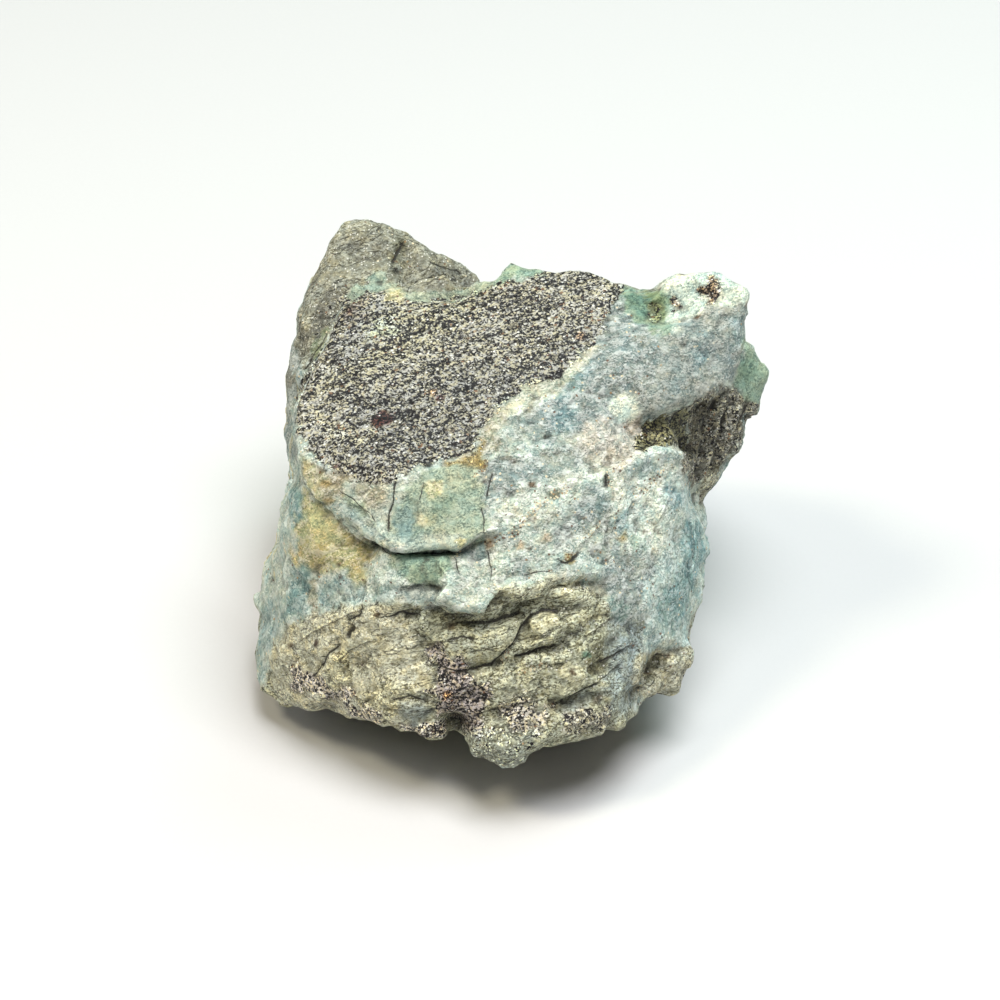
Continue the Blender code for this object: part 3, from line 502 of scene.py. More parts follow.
def noise(points, size, seed):
    """Smooth noise from about -1 to 1, its bumps about size across."""
    place = points / size
    corner = np.floor(place)
    part = place - corner
    bend = part**3 * (part * (part * 6.0 - 15.0) + 10.0)
    total = np.zeros(len(points))
    for step in itertools.product((0, 1), repeat=3):
        step = np.array(step)
        lean = [scatter(corner + step, seed + axis) for axis in range(3)]
        height = ((part - step) * (np.stack(lean, -1) * 2.0 - 1.0)).sum(1)
        total += height * np.where(step, bend, 1.0 - bend).prod(1)
    return total * 1.6


def layered(points, size, seed, layers=3):
    """Noise with finer noise on it, each layer half the size and half the height."""
    return sum(noise(points, size / 2**layer, seed + 10 * layer) / 2**layer for layer in range(layers))


def chips(points, size, seed):
    """Flat chips about size across, each tilted its own way: their heights, from about -0.5 to 0.5."""
    place = points / size
    home = np.floor(place)
    nearest = np.full(len(points), np.inf)
    heights = np.zeros(len(points))
    for step in itertools.product((-1, 0, 1), repeat=3):
        cell = home + np.array(step)
        middle = cell + np.stack([scatter(cell, seed + axis) for axis in range(3)], -1)
        tilt = np.stack([scatter(cell, seed + 3 + axis) for axis in range(3)], -1) - 0.5
        off = place - middle
        distance = (off**2).sum(1)
        closer = distance < nearest
        nearest = np.where(closer, distance, nearest)
        heights = np.where(closer, (off * tilt).sum(1), heights)
    return heights


def to_camera():
    return np.array((0.0, -math.cos(CAMERA_TILT), math.sin(CAMERA_TILT)))


def seen(points):
    """Where the points are in the camera's picture, in pixels across and down."""
    rise = np.array((0.0, math.sin(CAMERA_TILT), math.cos(CAMERA_TILT)))
    off = points - LOOKS_AT
    nearer = PIXELS * CAMERA_DISTANCE / (CAMERA_DISTANCE - off @ to_camera())
    return PICTURE_MIDDLE + off[:, 0] * nearer, PICTURE_MIDDLE - (off @ rise) * nearer


def beside(line, u, v):
    """Each seen point's distance from the line in millimetres, its side (1 on the left of the line's way, -1 on
    the right), and how far it lies past the line's ends."""
    nearest = np.full(len(u), np.inf)
    side = np.ones(len(u))
    past = np.zeros(len(u))
    for (start_u, start_v), (end_u, end_v) in zip(line, line[1:]):
        run_u = end_u - start_u
        run_v = end_v - start_v
        length = math.hypot(run_u, run_v)
        share = ((u - start_u) * run_u + (v - start_v) * run_v) / length**2
        clipped = np.clip(share, 0.0, 1.0)
        off_u = u - start_u - clipped * run_u
        off_v = v - start_v - clipped * run_v
        distance = np.hypot(off_u, off_v) / PIXELS
        closer = distance < nearest
        nearest = np.where(closer, distance, nearest)
        side = np.where(closer, np.where(run_v * off_u - run_u * off_v > 0.0, 1.0, -1.0), side)
        past = np.where(closer, np.abs(share - clipped) * length / PIXELS, past)
    return nearest, side, past


def from_line(line, u, v):
    return beside(line, u, v)[0]


def within(outline, u, v, blur, ragged=0.0):
    """1 for the points seen inside the outline, 0 outside, blended over blur millimetres. The edge moves out by
    ragged at each point."""
    inside = np.zeros(len(u), bool)
    closed = outline + outline[:1]
    for (start_u, start_v), (end_u, end_v) in zip(closed, closed[1:]):
        if start_v == end_v:
            continue
        crosses = (start_v > v) != (end_v > v)
        edge = start_u + (end_u - start_u) * (v - start_v) / (end_v - start_v)
        inside ^= crosses & (u < edge)
    distance = from_line(closed, u, v)
    return ramp(np.where(inside, distance, -distance) + ragged, -blur / 2, blur / 2)


def line_field(lines, u, v):
    """How many half widths each seen point lies from the nearest line, positive on its left, and how surely it
    is beside that line and not past its ends."""
    nearest = np.full(len(u), np.inf)
    field = np.full(len(u), 9.0)
    sure = np.zeros(len(u))
    for line in lines:
        distance, side, past = beside(line.points, u, v)
        closer = distance < nearest
        nearest = np.where(closer, distance, nearest)
        field = np.where(closer, side * distance / line.half, field)
        sure = np.where(closer, (1.0 - ramp(past, 0.0, 0.3)) * (1.0 - ramp(distance, 0.6, 1.0)), sure)
    return field, sure


def points_of(mesh):
    found = np.empty(len(mesh.vertices) * 3, np.float32)
    mesh.vertices.foreach_get("co", found)
    return found.reshape(-1, 3).astype(float) / MM


def normals_of(mesh):
    found = np.empty(len(mesh.vertices) * 3, np.float32)
    mesh.vertex_normals.foreach_get("vector", found)
    return found.reshape(-1, 3).astype(float)


def edges_of(mesh):
    found = np.empty(len(mesh.edges) * 2, np.int32)
    mesh.edges.foreach_get("vertices", found)
    return found.reshape(-1, 2)


def move_points(mesh, points):
    mesh.vertices.foreach_set("co", (points * MM).astype(np.float32).ravel())
    mesh.update()


def spread(values, edges, passes):
    """The values averaged with their neighbours', again and again."""
    count = np.bincount(edges.ravel(), minlength=len(values))
    for _ in range(passes):
        total = np.bincount(edges[:, 0], values[edges[:, 1]], len(values))
        total += np.bincount(edges[:, 1], values[edges[:, 0]], len(values))
        values = (values + total / count) / 2
    return values


def fine_copy(node):
    """The solid's shape as a new object of small even faces, with its facets smoothed away."""
    copy = bpy.data.objects.new("stone", node.data.copy())
    bpy.context.scene.collection.objects.link(copy)
    weld = copy.modifiers.new("weld", "WELD")
    weld.merge_threshold = 1e-6
    even = copy.modifiers.new("even faces", "REMESH")
    even.mode = "VOXEL"
    even.voxel_size = GRAIN * MM
    wear = copy.modifiers.new("wear", "SMOOTH")
    wear.factor = 0.5
    wear.iterations = WEAR_PASSES
    bpy.context.view_layer.update()
    graph = bpy.context.evaluated_depsgraph_get()
    mesh = bpy.data.meshes.new_from_object(copy.evaluated_get(graph))
    bpy.data.objects.remove(copy)
    stone = bpy.data.objects.new("stone", mesh)
    bpy.context.scene.collection.objects.link(stone)
    return stone


def in_sight(mesh, points, normals, edges):
    """1 for the points that the camera sees, 0 for those turned away or hidden, blended between them."""
    shape = bmesh.new()
    shape.from_mesh(mesh)
    tree = BVHTree.FromBMesh(shape)
    shape.free()
    camera = Vector((LOOKS_AT + to_camera() * CAMERA_DISTANCE) * MM)
    clear = np.zeros(len(points))
    starts = (points + normals * 0.5) * MM
    facing = normals @ to_camera()
    for i in np.flatnonzero(facing > 0.0):
        start = Vector(starts[i])
        clear[i] = tree.ray_cast(start, camera - start)[0] is None
    return spread(clear, edges, 3) * ramp(facing, 0.0, 0.2)


def mixed(first, second, share):
    """The first value where share is 0, the second where it is 1."""
    return first + (np.array(second) - first) * share[:, None]


def front_rock(points, u, v):
    """The front's colour and kind of rock at each point, from the patches and spots."""
    colour = np.tile(linear(WHITE), (len(points), 1))
    kind = np.tile(np.array(PECTOLITE), (len(points), 1))
    colour = mixed(colour, linear(GREY_BLUE), ramp(layered(points, 3.0, 21), 0.0, 0.6) * 0.7)
    frayed = [noise(points, 1.5, seed) + 0.7 * noise(points, 0.7, seed + 5) for seed in (301, 321, 341)]
    for patch, ragged in zip(PATCHES, itertools.cycle(frayed)):
        share = within(patch.outline, u, v, patch.blur, patch.ragged * ragged) * patch.strength
        colour = mixed(colour, linear(patch.colour), share)
        kind = mixed(kind, patch.kind, share)
    for spot in SPOTS:
        distance = np.hypot(u - spot.u, v - spot.v) / PIXELS + 0.3 * frayed[0]
        share = ramp(-distance, -spot.radius - 0.15, -spot.radius + 0.1) * spot.strength
        colour = mixed(colour, linear(spot.colour), share)
        kind[:, 2] *= 1.0 - share
    return colour, kind


def other_rock(points, normals):
    """The colour and kind of rock of the sides that the photograph doesn't show."""
    colour = np.tile(linear(PEAK), (len(points), 1))
    kind = np.tile(np.array(WEATHERED), (len(points), 1))
    ragged = layered(points, 9.0, 61)
    left = ramp(-normals[:, 0] + 0.5 * ragged, 0.2, 0.6)
    colour = mixed(colour, linear(PALE_BLUE), left)
    kind = mixed(kind, PECTOLITE, left)
    stained = left * ramp(layered(points, 6.0, 71), 0.2, 0.5)
    colour = mixed(colour, linear(OCHRE), stained)
    right = ramp(normals[:, 0] + 0.5 * ragged, 0.3, 0.6) * ramp(30.0 - points[:, 2] + 6.0 * ragged, -3.0, 3.0)
    colour = mixed(colour, linear(BLUE), right)
    kind = mixed(kind, PECTOLITE, right)
    low = ramp(14.0 - points[:, 2] + 6.0 * layered(points, 8.0, 81), -2.0, 2.0)
    colour = mixed(colour, linear(OLIVE), low)
    kind = mixed(kind, MATRIX, low)
    speckled = low * ramp(layered(points, 7.0, 91), 0.25, 0.5)
    colour = mixed(colour, linear(PURPLE), speckled)
    kind = mixed(kind, BASALT, speckled)
    vein = ramp(-np.abs(layered(points, 24.0, 95, 4)), -0.05, -0.02)
    colour = mixed(colour, linear(WHITE), vein)
    kind = mixed(kind, PECTOLITE, vein)
    return colour, kind


def drawn_out(points, rise, stretch):
    """The points squeezed along the way that rises to the right by rise, so that a noise of them is drawn out so."""
    along = math.cos(rise) * points[:, 0] + math.sin(rise) * points[:, 2]
    across = math.cos(rise) * points[:, 2] - math.sin(rise) * points[:, 0]
    return np.stack((along / stretch, points[:, 1], across), -1)


def relief(points, kind):
    """How far out each point stands by the rock's own roughness."""
    speckle, grit, frost, steep = kind.T
    smooth = np.clip(1.0 - speckle - grit, 0.0, 1.0)
    upright = points @ np.array(((1.0, 0.0, 0.2), (0.0, 1.0, 0.0), (0.0, 0.0, 0.3)))
    along = mixed(drawn_out(points, PLATE_RISE, 2.0), upright, steep)
    blades = mixed(drawn_out(points, FIBRE_RISE, 2.6), upright, steep)
    height = 0.22 * layered(points, 6.0, 101)
    height += smooth * (0.34 * chips(points, 4.5, 111) + 0.06 * noise(along, 1.0, 141))
    height += smooth * frost * (1.0 - 0.5 * steep) * (0.36 * chips(blades, 1.3, 121) + 0.10 * noise(blades, 0.7, 131))
    height += speckle * (0.13 * layered(along, 0.85, 151, 2) + 0.35 * steep * noise(along, 1.6, 155))
    plates = 0.6 * chips(along, 2.6, 161) + 0.35 * chips(along, 1.3, 171)
    gaps = np.abs(noise(along, 2.0, 191)) + 0.5 * np.abs(noise(along, 1.0, 181)) - 0.45
    height += grit * (1.0 - 0.6 * frost) * (plates + 0.3 * gaps)
    return height


def carved(u, v):
    """How far out each seen point of the front stands by the steps, cracks and pits placed there."""
    height = np.zeros(len(u))
    for step in STEPS:
        distance, side, past = beside(step.points, u, v)
        fade = np.exp(-((distance / step.reach) ** 2)) * (1.0 - ramp(past, 0.0, 0.8))
        height += np.clip(side * distance / 0.3, -1.0, 1.0) * step.height * fade
    for ridge in RIDGES:
        height += ridge.height * np.exp(-((from_line(ridge.points, u, v) / ridge.reach) ** 2))
    for crack in CRACKS_AND_SHADOW_LINES:
        distance, _, past = beside(crack.points, u, v)
        height -= 2.5 * crack.half * np.exp(-((distance / 0.35) ** 2)) * (1.0 - ramp(past, 0.0, 0.4))
    for spot in SPOTS:
        distance = np.hypot(u - spot.u, v - spot.v) / PIXELS
        height -= spot.depth * np.exp(-((distance / (spot.radius + 0.2)) ** 2))
    return height


def pushed(points):
    """The points after the pushes, each moved level, so that nothing sinks or rises."""
    u, v = seen(points)
    moved = points.copy()
    for push in PUSHES:
        near = np.exp(-(((u - push.u) ** 2 + (v - push.v) ** 2) / push.reach**2))
        moved[:, 0] += near * push.across / PIXELS
        moved[:, 1] -= near * push.down / PIXELS / math.sin(CAMERA_TILT)
    return moved


def sculpt(mesh):
    points = pushed(points_of(mesh))
    move_points(mesh, points)
    normals = normals_of(mesh)
    edges = edges_of(mesh)
    shown = in_sight(mesh, points, normals, edges)
    u, v = seen(points)
    near_u = u + PIXELS * 0.14 * noise(points, 0.9, 201)
    near_v = v + PIXELS * 0.14 * noise(points, 0.9, 211)
    colour, kind = front_rock(points, u + PIXELS * 0.4 * layered(points, 2.8, 11),
                              v + PIXELS * 0.4 * layered(points, 2.8, 41))
    other_colour, other_kind = other_rock(points, normals)
    colour = mixed(other_colour, colour, shown)
    kind = mixed(other_kind, kind, shown)
    height = relief(points, kind) + carved(near_u, near_v) * shown
    resting = ramp(points[:, 2], 0.2, 1.2)
    moved = points + normals * (height * resting)[:, None]
    moved[:, 2] = np.maximum(moved[:, 2], 0.0)
    move_points(mesh, moved)
    store(mesh, "tint", colour)
    for name, share in zip(("speckle", "grit", "frost", "steep"), kind.T):
        store(mesh, name, share)
    for name, lines in (("crack", CRACKS_AND_SHADOW_LINES), ("vein", VEINS), ("lip", STEPS)):
        field, sure = line_field(lines, near_u, near_v)
        store(mesh, name, field)
        store(mesh, "near_" + name, sure * shown)
    store(mesh, "lift", lift_of(mesh, edges))
    mesh.shade_smooth()


def lift_of(mesh, edges):
    """How far each point stands above (or, negative, below) the surface around it, in millimetres."""
    points = points_of(mesh)
    around = np.stack([spread(points[:, axis], edges, 6) for axis in range(3)], -1)
    return ((points - around) * normals_of(mesh)).sum(1)


def store(mesh, name, values):
    """The values as the mesh's own point attribute, for the material to read."""
    if values.ndim == 1:
        layer = mesh.attributes.new(name, "FLOAT", "POINT")
        layer.data.foreach_set("value", values.astype(np.float32))
        return
    layer = mesh.attributes.new(name, "FLOAT_COLOR", "POINT")
    full = np.ones((len(values), 4), np.float32)
    full[:, : values.shape[1]] = values
    layer.data.foreach_set("color", full.ravel())


class Shading:
    """Short calls that add a material's nodes, each giving its first output."""

    def __init__(self, name):
        self.material = bpy.data.materials.new(name)
        self.material.use_nodes = True
        self.tree = self.material.node_tree
        self.surface = self.tree.nodes["Principled BSDF"]

    def put(self, socket, value):
        if isinstance(value, bpy.types.NodeSocket):
            self.tree.links.new(value, socket)
        else:
            socket.default_value = value

    def node(self, kind, inputs, **settings):
        made = self.tree.nodes.new("ShaderNode" + kind)
        for name, value in settings.items():
            setattr(made, name, value)
        for name, value in inputs.items():
            self.put(made.inputs[name], value)
        return made

    def stored(self, name, output="Fac"):
        return self.node("Attribute", {}, attribute_name=name).outputs[output]

    def places(self, stretch=(1.0, 1.0, 1.0), turn=(0.0, 0.0, 0.0)):
        """The points in millimetres, turned about the three axes and then stretched."""
        place = self.node("TexCoord", {}).outputs["Object"]
        turned = self.node("Mapping", {"Vector": place, "Rotation": turn}).outputs[0]
        scale = tuple(1.0 / (MM * share) for share in stretch)
        return self.node("Mapping", {"Vector": turned, "Scale": scale}).outputs[0]

    def bent(self, amount):
        """The points in millimetres, each shifted by a noise of up to about amount."""
        shift = self.node("TexNoise", {"Vector": self.places(), "Scale": 1.5, "Detail": 2.0}).outputs["Color"]
        middled = self.node("VectorMath", {0: shift, 1: (0.5, 0.5, 0.5)}, operation="SUBTRACT").outputs[0]
        scaled = self.node("VectorMath", {0: middled, 1: (4.0 * amount,) * 3}, operation="MULTIPLY").outputs[0]
        return self.node("VectorMath", {0: self.places(), 1: scaled}, operation="ADD").outputs[0]

    def noise(self, places, size, detail=2.0, roughness=0.6):
        inputs = {"Vector": places, "Scale": 1.0 / size, "Detail": detail, "Roughness": roughness}
        return self.node("TexNoise", inputs).outputs["Fac"]

    def crystals(self, places, size):
        """For each crystal, about size across: two random numbers from 0 to 1, and the distance from its middle."""
        made = self.node("TexVoronoi", {"Vector": places, "Scale": 1.0 / size})
        parts = self.node("SeparateColor", {"Color": made.outputs["Color"]})
        return parts.outputs[0], parts.outputs[1], made.outputs["Distance"]

    def ramp(self, value, low, high, start=0.0, end=1.0):
        inputs = {"Value": value, "From Min": low, "From Max": high, "To Min": start, "To Max": end}
        return self.node("MapRange", inputs, interpolation_type="SMOOTHSTEP").outputs[0]

    def calc(self, operation, first, second):
        return self.node("Math", {0: first, 1: second}, operation=operation).outputs[0]

    def sum(self, *parts):
        """The sum of the parts, each a value with its weight, and each counted from its middle of 0.5."""
        total = 0.5
        for value, weight in parts:
            middled = self.calc("SUBTRACT", value, 0.5)
            total = self.calc("ADD", self.calc("MULTIPLY", middled, weight), total)
        return total

    def mix(self, share, first, second, blend="MIX"):
        """The first colour where share is 0, and there the second is blended in as share rises to 1."""
        mixer = self.node("Mix", {}, data_type="RGBA", blend_type=blend)
        self.put(mixer.inputs[0], share)
        self.put(mixer.inputs[6], first)
        self.put(mixer.inputs[7], second)
        return mixer.outputs[2]

    def times(self, colour, factor):
        return self.mix(1.0, colour, factor, "MULTIPLY")


def rock():
    """One rock of three kinds, each with its own grain over the colour that the mesh carries."""
    s = Shading("rock")
    tint = s.stored("tint", "Color")
    broad = s.noise(s.places(), 1.3, 3.0, 0.65)
    frayed = s.noise(s.places(), 0.7, 3.0, 0.75)
    speckle = s.ramp(s.calc("ADD", s.stored("speckle"), s.sum((frayed, 2.6))), 0.90, 1.10)
    grit = s.ramp(s.calc("ADD", s.stored("grit"), s.sum((frayed, -2.6))), 0.90, 1.10)

    basalt, basalt_height = basalt_grain(s, tint)
    pectolite, pectolite_height = pectolite_grain(s, tint, broad)
    matrix, matrix_height = matrix_grain(s, tint, broad)
    colour = s.mix(grit, s.mix(speckle, pectolite, basalt), matrix)
    lift = s.stored("lift")
    # Painted shade in hollows, down to half as bright, and painted highlight on ridges, up to a fifth brighter, by how
    # far a point lies below or above the surface around it.
    colour = s.times(colour, s.ramp(lift, -0.12, 0.0, 0.5, 1.0))
    colour = s.times(colour, s.ramp(lift, 0.0, 0.12, 1.0, 1.2))
    colour = lipped(s, colour)
    colour = rusty(s, colour)
    crack = painted_line_shade(s)
    # The cracks and the ledge's shadow line go near-black: painted shade, finer than the mesh can cast.
    s.put(s.surface.inputs["Base Color"], s.mix(crack, colour, (0.018, 0.016, 0.012, 1.0)))

    height = s.mix(grit, s.mix(speckle, pectolite_height, basalt_height), matrix_height)
    height = s.calc("MULTIPLY", height, s.ramp(crack, 0.0, 1.0, 1.0, 0.0))
    bump = s.node("Bump", {"Height": height, "Distance": 0.22 * MM, "Strength": 1.0})
    s.put(s.surface.inputs["Normal"], bump.outputs[0])
    dull = s.calc("ADD", s.ramp(s.stored("frost"), 0.0, 1.0, 0.42, 0.62), s.calc("MULTIPLY", broad, 0.3))
    s.put(s.surface.inputs["Roughness"], dull)
    s.surface.inputs["Specular IOR Level"].default_value = 0.35
    return s.material


def painted_line_shade(s):
    """1 in the thin cracks and on the ledge's shadow line, 0 beside them, with frayed and broken edges."""
    off = s.calc("ABSOLUTE", s.stored("crack"), 0.0)
    frayed = s.sum((s.noise(s.places(), 0.3, 3.0, 0.8), 4.0), (s.noise(s.places(), 1.6, 2.0), 3.0))
    return s.calc("MULTIPLY", s.ramp(s.calc("ADD", off, frayed), 1.9, 1.1, 0.0, 0.92), s.stored("near_crack"))


def lipped(s, colour):
    """The colour with a pale lip on the upper side of each step, part wear and part painted highlight, and a line of
    painted shade below it.
    """
    frayed = s.sum((s.noise(s.places(), 0.25, 3.0, 0.8), 5.0), (s.noise(s.places(), 1.8, 2.0), 4.0))
    off = s.calc("ADD", s.stored("lip"), s.calc("SUBTRACT", frayed, 0.5))
    near = s.stored("near_lip")
    bare = s.ramp(s.stored("grit"), 0.0, 1.0, 0.3, 0.8)
    # Painted highlight on the step's upper side, where light falls, and painted shade in a dark line on its lower side.
    worn_and_lit = s.calc("MULTIPLY", s.ramp(off, 0.2, 0.9), s.ramp(off, 3.2, 1.4))
    shaded = s.calc("MULTIPLY", s.ramp(off, 0.1, -0.5), s.ramp(off, -2.2, -1.0))
    worn_and_lit = s.calc("MULTIPLY", worn_and_lit, near)
    shaded = s.calc("MULTIPLY", s.calc("MULTIPLY", shaded, near), bare)
    colour = s.mix(worn_and_lit, colour, s.times(colour, (1.35, 1.35, 1.32, 1.0)))
    return s.mix(shaded, colour, s.times(colour, (0.16, 0.14, 0.11, 1.0)))


def rusty(s, colour):
    """The colour with rusty and cream grains strung along the veins, and a few more scattered in the frost."""
    off = s.calc("ABSOLUTE", s.stored("vein"), 0.0)
    chance, hue, distance = s.crystals(s.places(), 0.32)
    close = s.calc("MULTIPLY", s.ramp(off, 3.4, 0.6, 0.0, 0.9), s.stored("near_vein"))
    strung = s.calc("GREATER_THAN", s.calc("ADD", chance, close), 1.0)
    stray = s.calc("MULTIPLY", s.calc("GREATER_THAN", chance, 0.965), s.ramp(s.stored("frost"), 0.3, 0.8))
    frayed = s.noise(s.places(), 0.15, 2.0, 0.8)
    grain = s.ramp(s.calc("ADD", distance, s.sum((frayed, 0.8))), 1.0, 0.9, 0.0, 0.85)
    rust = s.mix(s.ramp(hue, 0.2, 0.5), (0.13, 0.06, 0.03, 1.0), (0.44, 0.27, 0.11, 1.0))
    rust = s.mix(s.ramp(hue, 0.4, 0.5), rust, (0.80, 0.68, 0.45, 1.0))
    return s.mix(s.calc("MULTIPLY", s.calc("MAXIMUM", strung, stray), grain), colour, rust)


def basalt_grain(s, tint):
    """Pale and dark grains along the old flow, with sparkling crystals, in lighter and darker bands."""
    flow = (0.0, 0.0, GRAIN_TURN)
    along = s.places((1.35, 1.0, 1.0), flow)
    chance, hue, _ = s.crystals(along, 0.27)
    fine, _, _ = s.crystals(s.places(), 0.18)
    clumps = s.noise(along, 0.6, 2.0, 0.7)
    bands = s.noise(s.places((6.0, 1.0, 1.0), flow), 1.0, 3.0, 0.65)
    bands = s.mix(s.stored("steep"), bands, s.noise(s.places((1.0, 1.0, 4.0)), 0.9, 3.0, 0.7))
    light = s.sum((chance, 0.85), (fine, 1.4), (clumps, 0.9), (bands, 2.3))
    pale = s.mix(s.ramp(hue, 0.3, 0.7), (3.5, 3.5, 3.6, 1.0), (3.5, 3.3, 2.65, 1.0))
    pale = s.mix(s.ramp(hue, 0.97, 0.98), pale, (1.7, 1.0, 0.65, 1.0))
    colour = s.times(tint, s.mix(s.ramp(light, 0.1, 1.27), (0.02, 0.015, 0.025, 1.0), pale))
    picked, _, distance = s.crystals(along, 0.33)
    sparkle = s.calc("MULTIPLY", s.ramp(distance, 0.36, 0.26, 0.0, 0.9), s.calc("GREATER_THAN", picked, 0.91))
    return s.mix(sparkle, colour, (0.80, 0.79, 0.74, 1.0)), light


def pectolite_grain(s, tint, broad):
    """Fine fibres under a chalky frost, with bluer and whiter places, creases, and small dark specks of painted shade
    for tiny pits.
    """
    frosty = s.stored("frost")
    even = s.noise(s.places((2.2, 1.0, 1.0), (0.0, FIBRE_RISE, 0.0)), 0.22, 3.0, 0.75)
    upright = s.noise(s.places((1.0, 1.0, 3.4)), 0.26, 3.0, 0.8)
    fibres = s.mix(s.stored("steep"), even, upright)
    fine, _, _ = s.crystals(s.places(), 0.17)
    _, _, crease = s.crystals(s.bent(0.35), 0.75)
    crisp = s.ramp(s.noise(s.places(), 1.1, 2.0, 0.6), 0.36, 0.62, 0.35, 1.55)
    light = s.calc("ADD", s.calc("MULTIPLY", s.calc("SUBTRACT", s.sum((fibres, 1.1), (fine, 0.30)), 0.5), crisp), 0.5)
    deep = s.mix(frosty, (0.50, 0.56, 0.56, 1.0), (0.62, 0.71, 0.72, 1.0))
    bright = s.mix(frosty, (1.42, 1.38, 1.30, 1.0), (1.26, 1.22, 1.18, 1.0))
    body = s.times(tint, s.mix(s.ramp(light, 0.25, 0.75), deep, bright))
    body = s.times(body, s.mix(s.ramp(broad, 0.35, 0.65), (0.86, 0.93, 0.96, 1.0), (1.12, 1.05, 1.0, 1.0)))
    warmth = s.noise(s.places(), 4.0, 3.0, 0.7)
    body = s.times(body, s.mix(s.ramp(warmth, 0.36, 0.64), (0.93, 0.98, 1.0, 1.0), (1.10, 1.03, 0.95, 1.0)))
    strokes = s.noise(s.places((3.2, 1.0, 1.0), (0.0, FIBRE_RISE, 0.0)), 0.9, 3.0, 0.65)
    chalked = s.ramp(s.sum((light, 0.8), (broad, 0.4), (strokes, 1.5), (crease, -0.3)), 0.44, 0.64)
    chalky = s.mix(0.5, s.times(tint, (1.35, 1.33, 1.31, 1.0)), (0.80, 0.81, 0.77, 1.0))
    colour = s.mix(s.calc("MULTIPLY", s.calc("MULTIPLY", chalked, frosty), 0.65), body, chalky)
    # Small dark specks at random: painted shade standing in for tiny pits, which the mesh and bump don't have.
    pits = s.ramp(s.noise(s.places(), 0.42, 2.0, 0.6), 0.25, 0.31)
    creased = s.calc("MULTIPLY", s.ramp(crease, 0.1, 0.9), s.ramp(frosty, 0.0, 1.0, 0.3, 0.9))
    return s.mix(pits, s.times(colour, (0.40, 0.37, 0.33, 1.0)), colour), s.calc("SUBTRACT", light, creased)


def matrix_grain(s, tint, broad):
    """Earthy rock in thin plates: pale crumbs and dark gaps, smoother places, and fine seams in painted shade."""
    turn = (0.0, PLATE_RISE, 0.0)
    chance, hue, _ = s.crystals(s.places((1.3, 1.0, 1.0), turn), 0.30)
    fine, _, _ = s.crystals(s.places((1.3, 1.0, 1.0), turn), 0.17)
    small = s.noise(s.places((1.8, 1.0, 1.0), turn), 0.30, 3.0, 0.8)
    plates = s.noise(s.places((4.0, 1.6, 1.0), turn), 1.3, 3.0, 0.6)
    calm = s.ramp(s.stored("frost"), 0.0, 0.7, 1.0, 0.6)
    gritty = s.calc("MULTIPLY", s.ramp(plates, 0.42, 0.56, 0.4, 1.0), calm)
    grains = s.sum((chance, 0.35), (fine, 0.85), (small, 1.7))
    rough = s.calc("MULTIPLY", s.calc("SUBTRACT", grains, 0.5), gritty)
    light = s.calc("ADD", rough, s.sum((plates, 0.6)))
    pale = s.mix(s.ramp(hue, 0.4, 0.8), (1.68, 1.69, 1.76, 1.0), (1.71, 1.68, 1.64, 1.0))
    colour = s.times(tint, s.mix(s.ramp(light, 0.10, 0.92), (0.30, 0.28, 0.20, 1.0), pale))
    colour = s.times(colour, s.mix(s.ramp(broad, 0.35, 0.65), (0.88, 0.91, 0.94, 1.0), (1.10, 1.08, 1.02, 1.0)))
    stained = s.ramp(s.noise(s.places(), 2.6, 3.0, 0.75), 0.52, 0.66, 0.0, 0.7)
    colour = s.mix(stained, colour, s.times(colour, (1.03, 0.98, 0.85, 1.0)))
    # Fine seams along the plates, darkened to under a third: painted shade in thin cracks, which the bump also lowers a
    # little.
    seam = s.calc("ABSOLUTE", s.calc("SUBTRACT", s.noise(s.places((5.0, 2.0, 1.0), turn), 1.7, 3.0, 0.6), 0.5), 0.0)
    seam = s.ramp(seam, 0.004, 0.014, 0.30, 1.0)
    picked, _, distance = s.crystals(s.places(), 0.28)
    crumb = s.calc("MULTIPLY", s.ramp(distance, 0.45, 0.30, 0.0, 0.8), s.calc("GREATER_THAN", picked, 0.90))
    return s.mix(crumb, s.times(colour, seam), (0.68, 0.67, 0.60, 1.0)), s.calc("MULTIPLY", light, seam)


def floor():
    bpy.ops.mesh.primitive_plane_add(size=6.0, location=(0.0, 0.0, 0.0))
    plane = bpy.context.object
    plane.name = "floor"
    s = Shading("white paper")
    fibre = s.noise(s.places(), 0.6, 3.0)
    s.put(s.surface.inputs["Base Color"], s.mix(fibre, (0.56, 0.555, 0.55, 1.0), (0.58, 0.575, 0.57, 1.0)))
    s.surface.inputs["Roughness"].default_value = 0.7
    plane.data.materials.append(s.material)


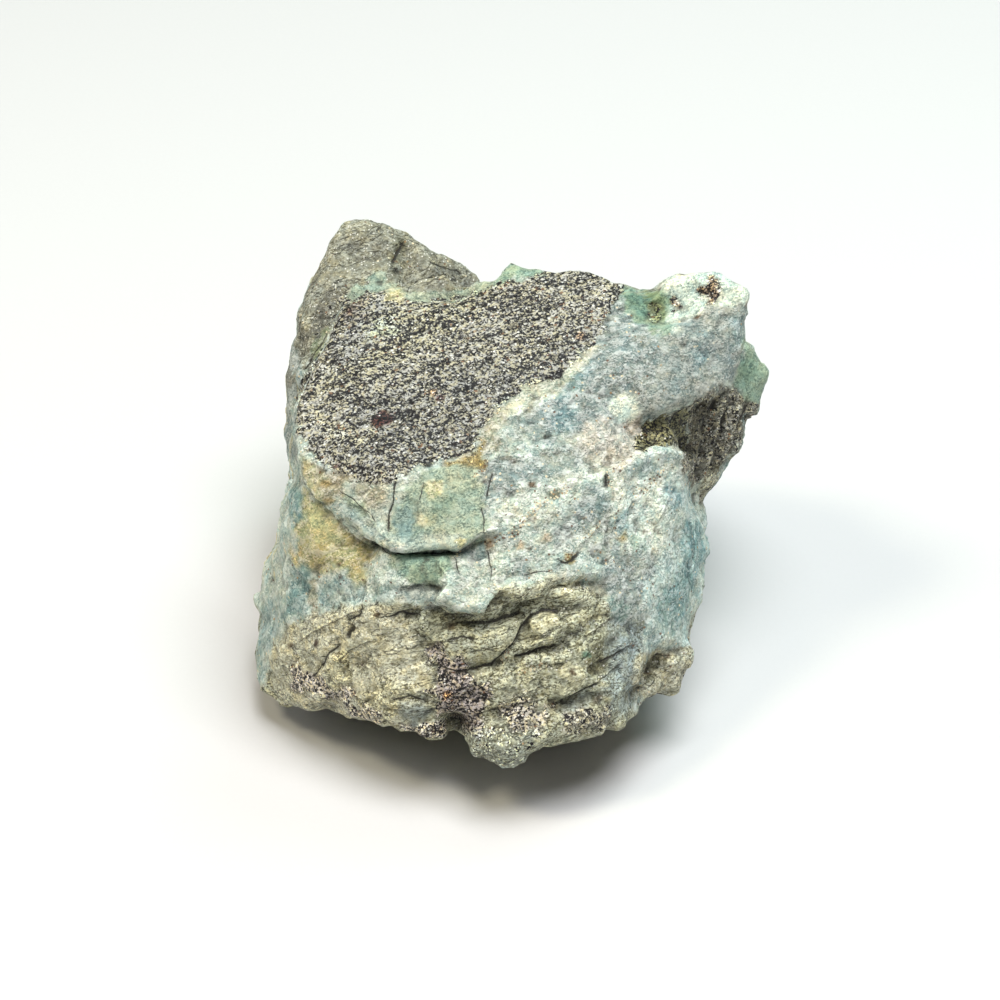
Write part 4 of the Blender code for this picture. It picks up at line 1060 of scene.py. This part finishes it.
def soft_light(name, place, size, power, colour):
    light = bpy.data.lights.new(name, "AREA")
    light.color = colour
    light.size = size
    light.energy = power
    lamp = bpy.data.objects.new(name, light)
    lamp.location = place
    lamp.rotation_mode = "QUATERNION"
    lamp.rotation_quaternion = Vector(place).to_track_quat("Z", "Y")
    bpy.context.scene.collection.objects.link(lamp)


def lights():
    soft_light("top", (0.10, -0.10, 0.70), 0.4, 7.0, WHITISH)
    soft_light("fill", (0.35, -0.32, 0.30), 0.5, 0.34, WHITISH)
    soft_light("back", (0.22, 0.28, 0.50), 0.30, 1.25, COOL)
    soft_light("front", (-0.33, -0.14, 0.60), 0.14, 1.9, WARM)
    soft_light("left", (-0.50, 0.02, 0.26), 0.3, 0.7, WHITISH)
    world = bpy.data.worlds.new("studio")
    world.use_nodes = True
    world.node_tree.nodes["Background"].inputs["Color"].default_value = (1.0, 1.0, 1.0, 1.0)
    world.node_tree.nodes["Background"].inputs["Strength"].default_value = 0.015
    bpy.context.scene.world = world
    bpy.context.scene.view_settings.view_transform = "Standard"


def camera():
    lens = bpy.data.cameras.new("camera")
    lens.lens = LENS
    lens.sensor_width = SENSOR
    lens.clip_start = 0.01
    eye = bpy.data.objects.new("camera", lens)
    eye.location = (LOOKS_AT + to_camera() * CAMERA_DISTANCE) * MM
    eye.rotation_mode = "QUATERNION"
    eye.rotation_quaternion = Vector(to_camera()).to_track_quat("Z", "Y")
    bpy.context.scene.collection.objects.link(eye)
    bpy.context.scene.camera = eye


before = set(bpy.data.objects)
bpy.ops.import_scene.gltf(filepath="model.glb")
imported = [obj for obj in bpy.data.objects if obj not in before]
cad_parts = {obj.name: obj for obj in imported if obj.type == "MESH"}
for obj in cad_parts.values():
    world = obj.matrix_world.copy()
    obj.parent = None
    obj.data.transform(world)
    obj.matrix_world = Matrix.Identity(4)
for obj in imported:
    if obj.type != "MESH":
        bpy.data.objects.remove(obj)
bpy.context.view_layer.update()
stone = fine_copy(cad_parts["larimar"])
sculpt(stone.data)
stone.data.materials.clear()
stone.data.materials.append(rock())
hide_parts("larimar")
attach(stone, "root")
floor()
lights()
camera()
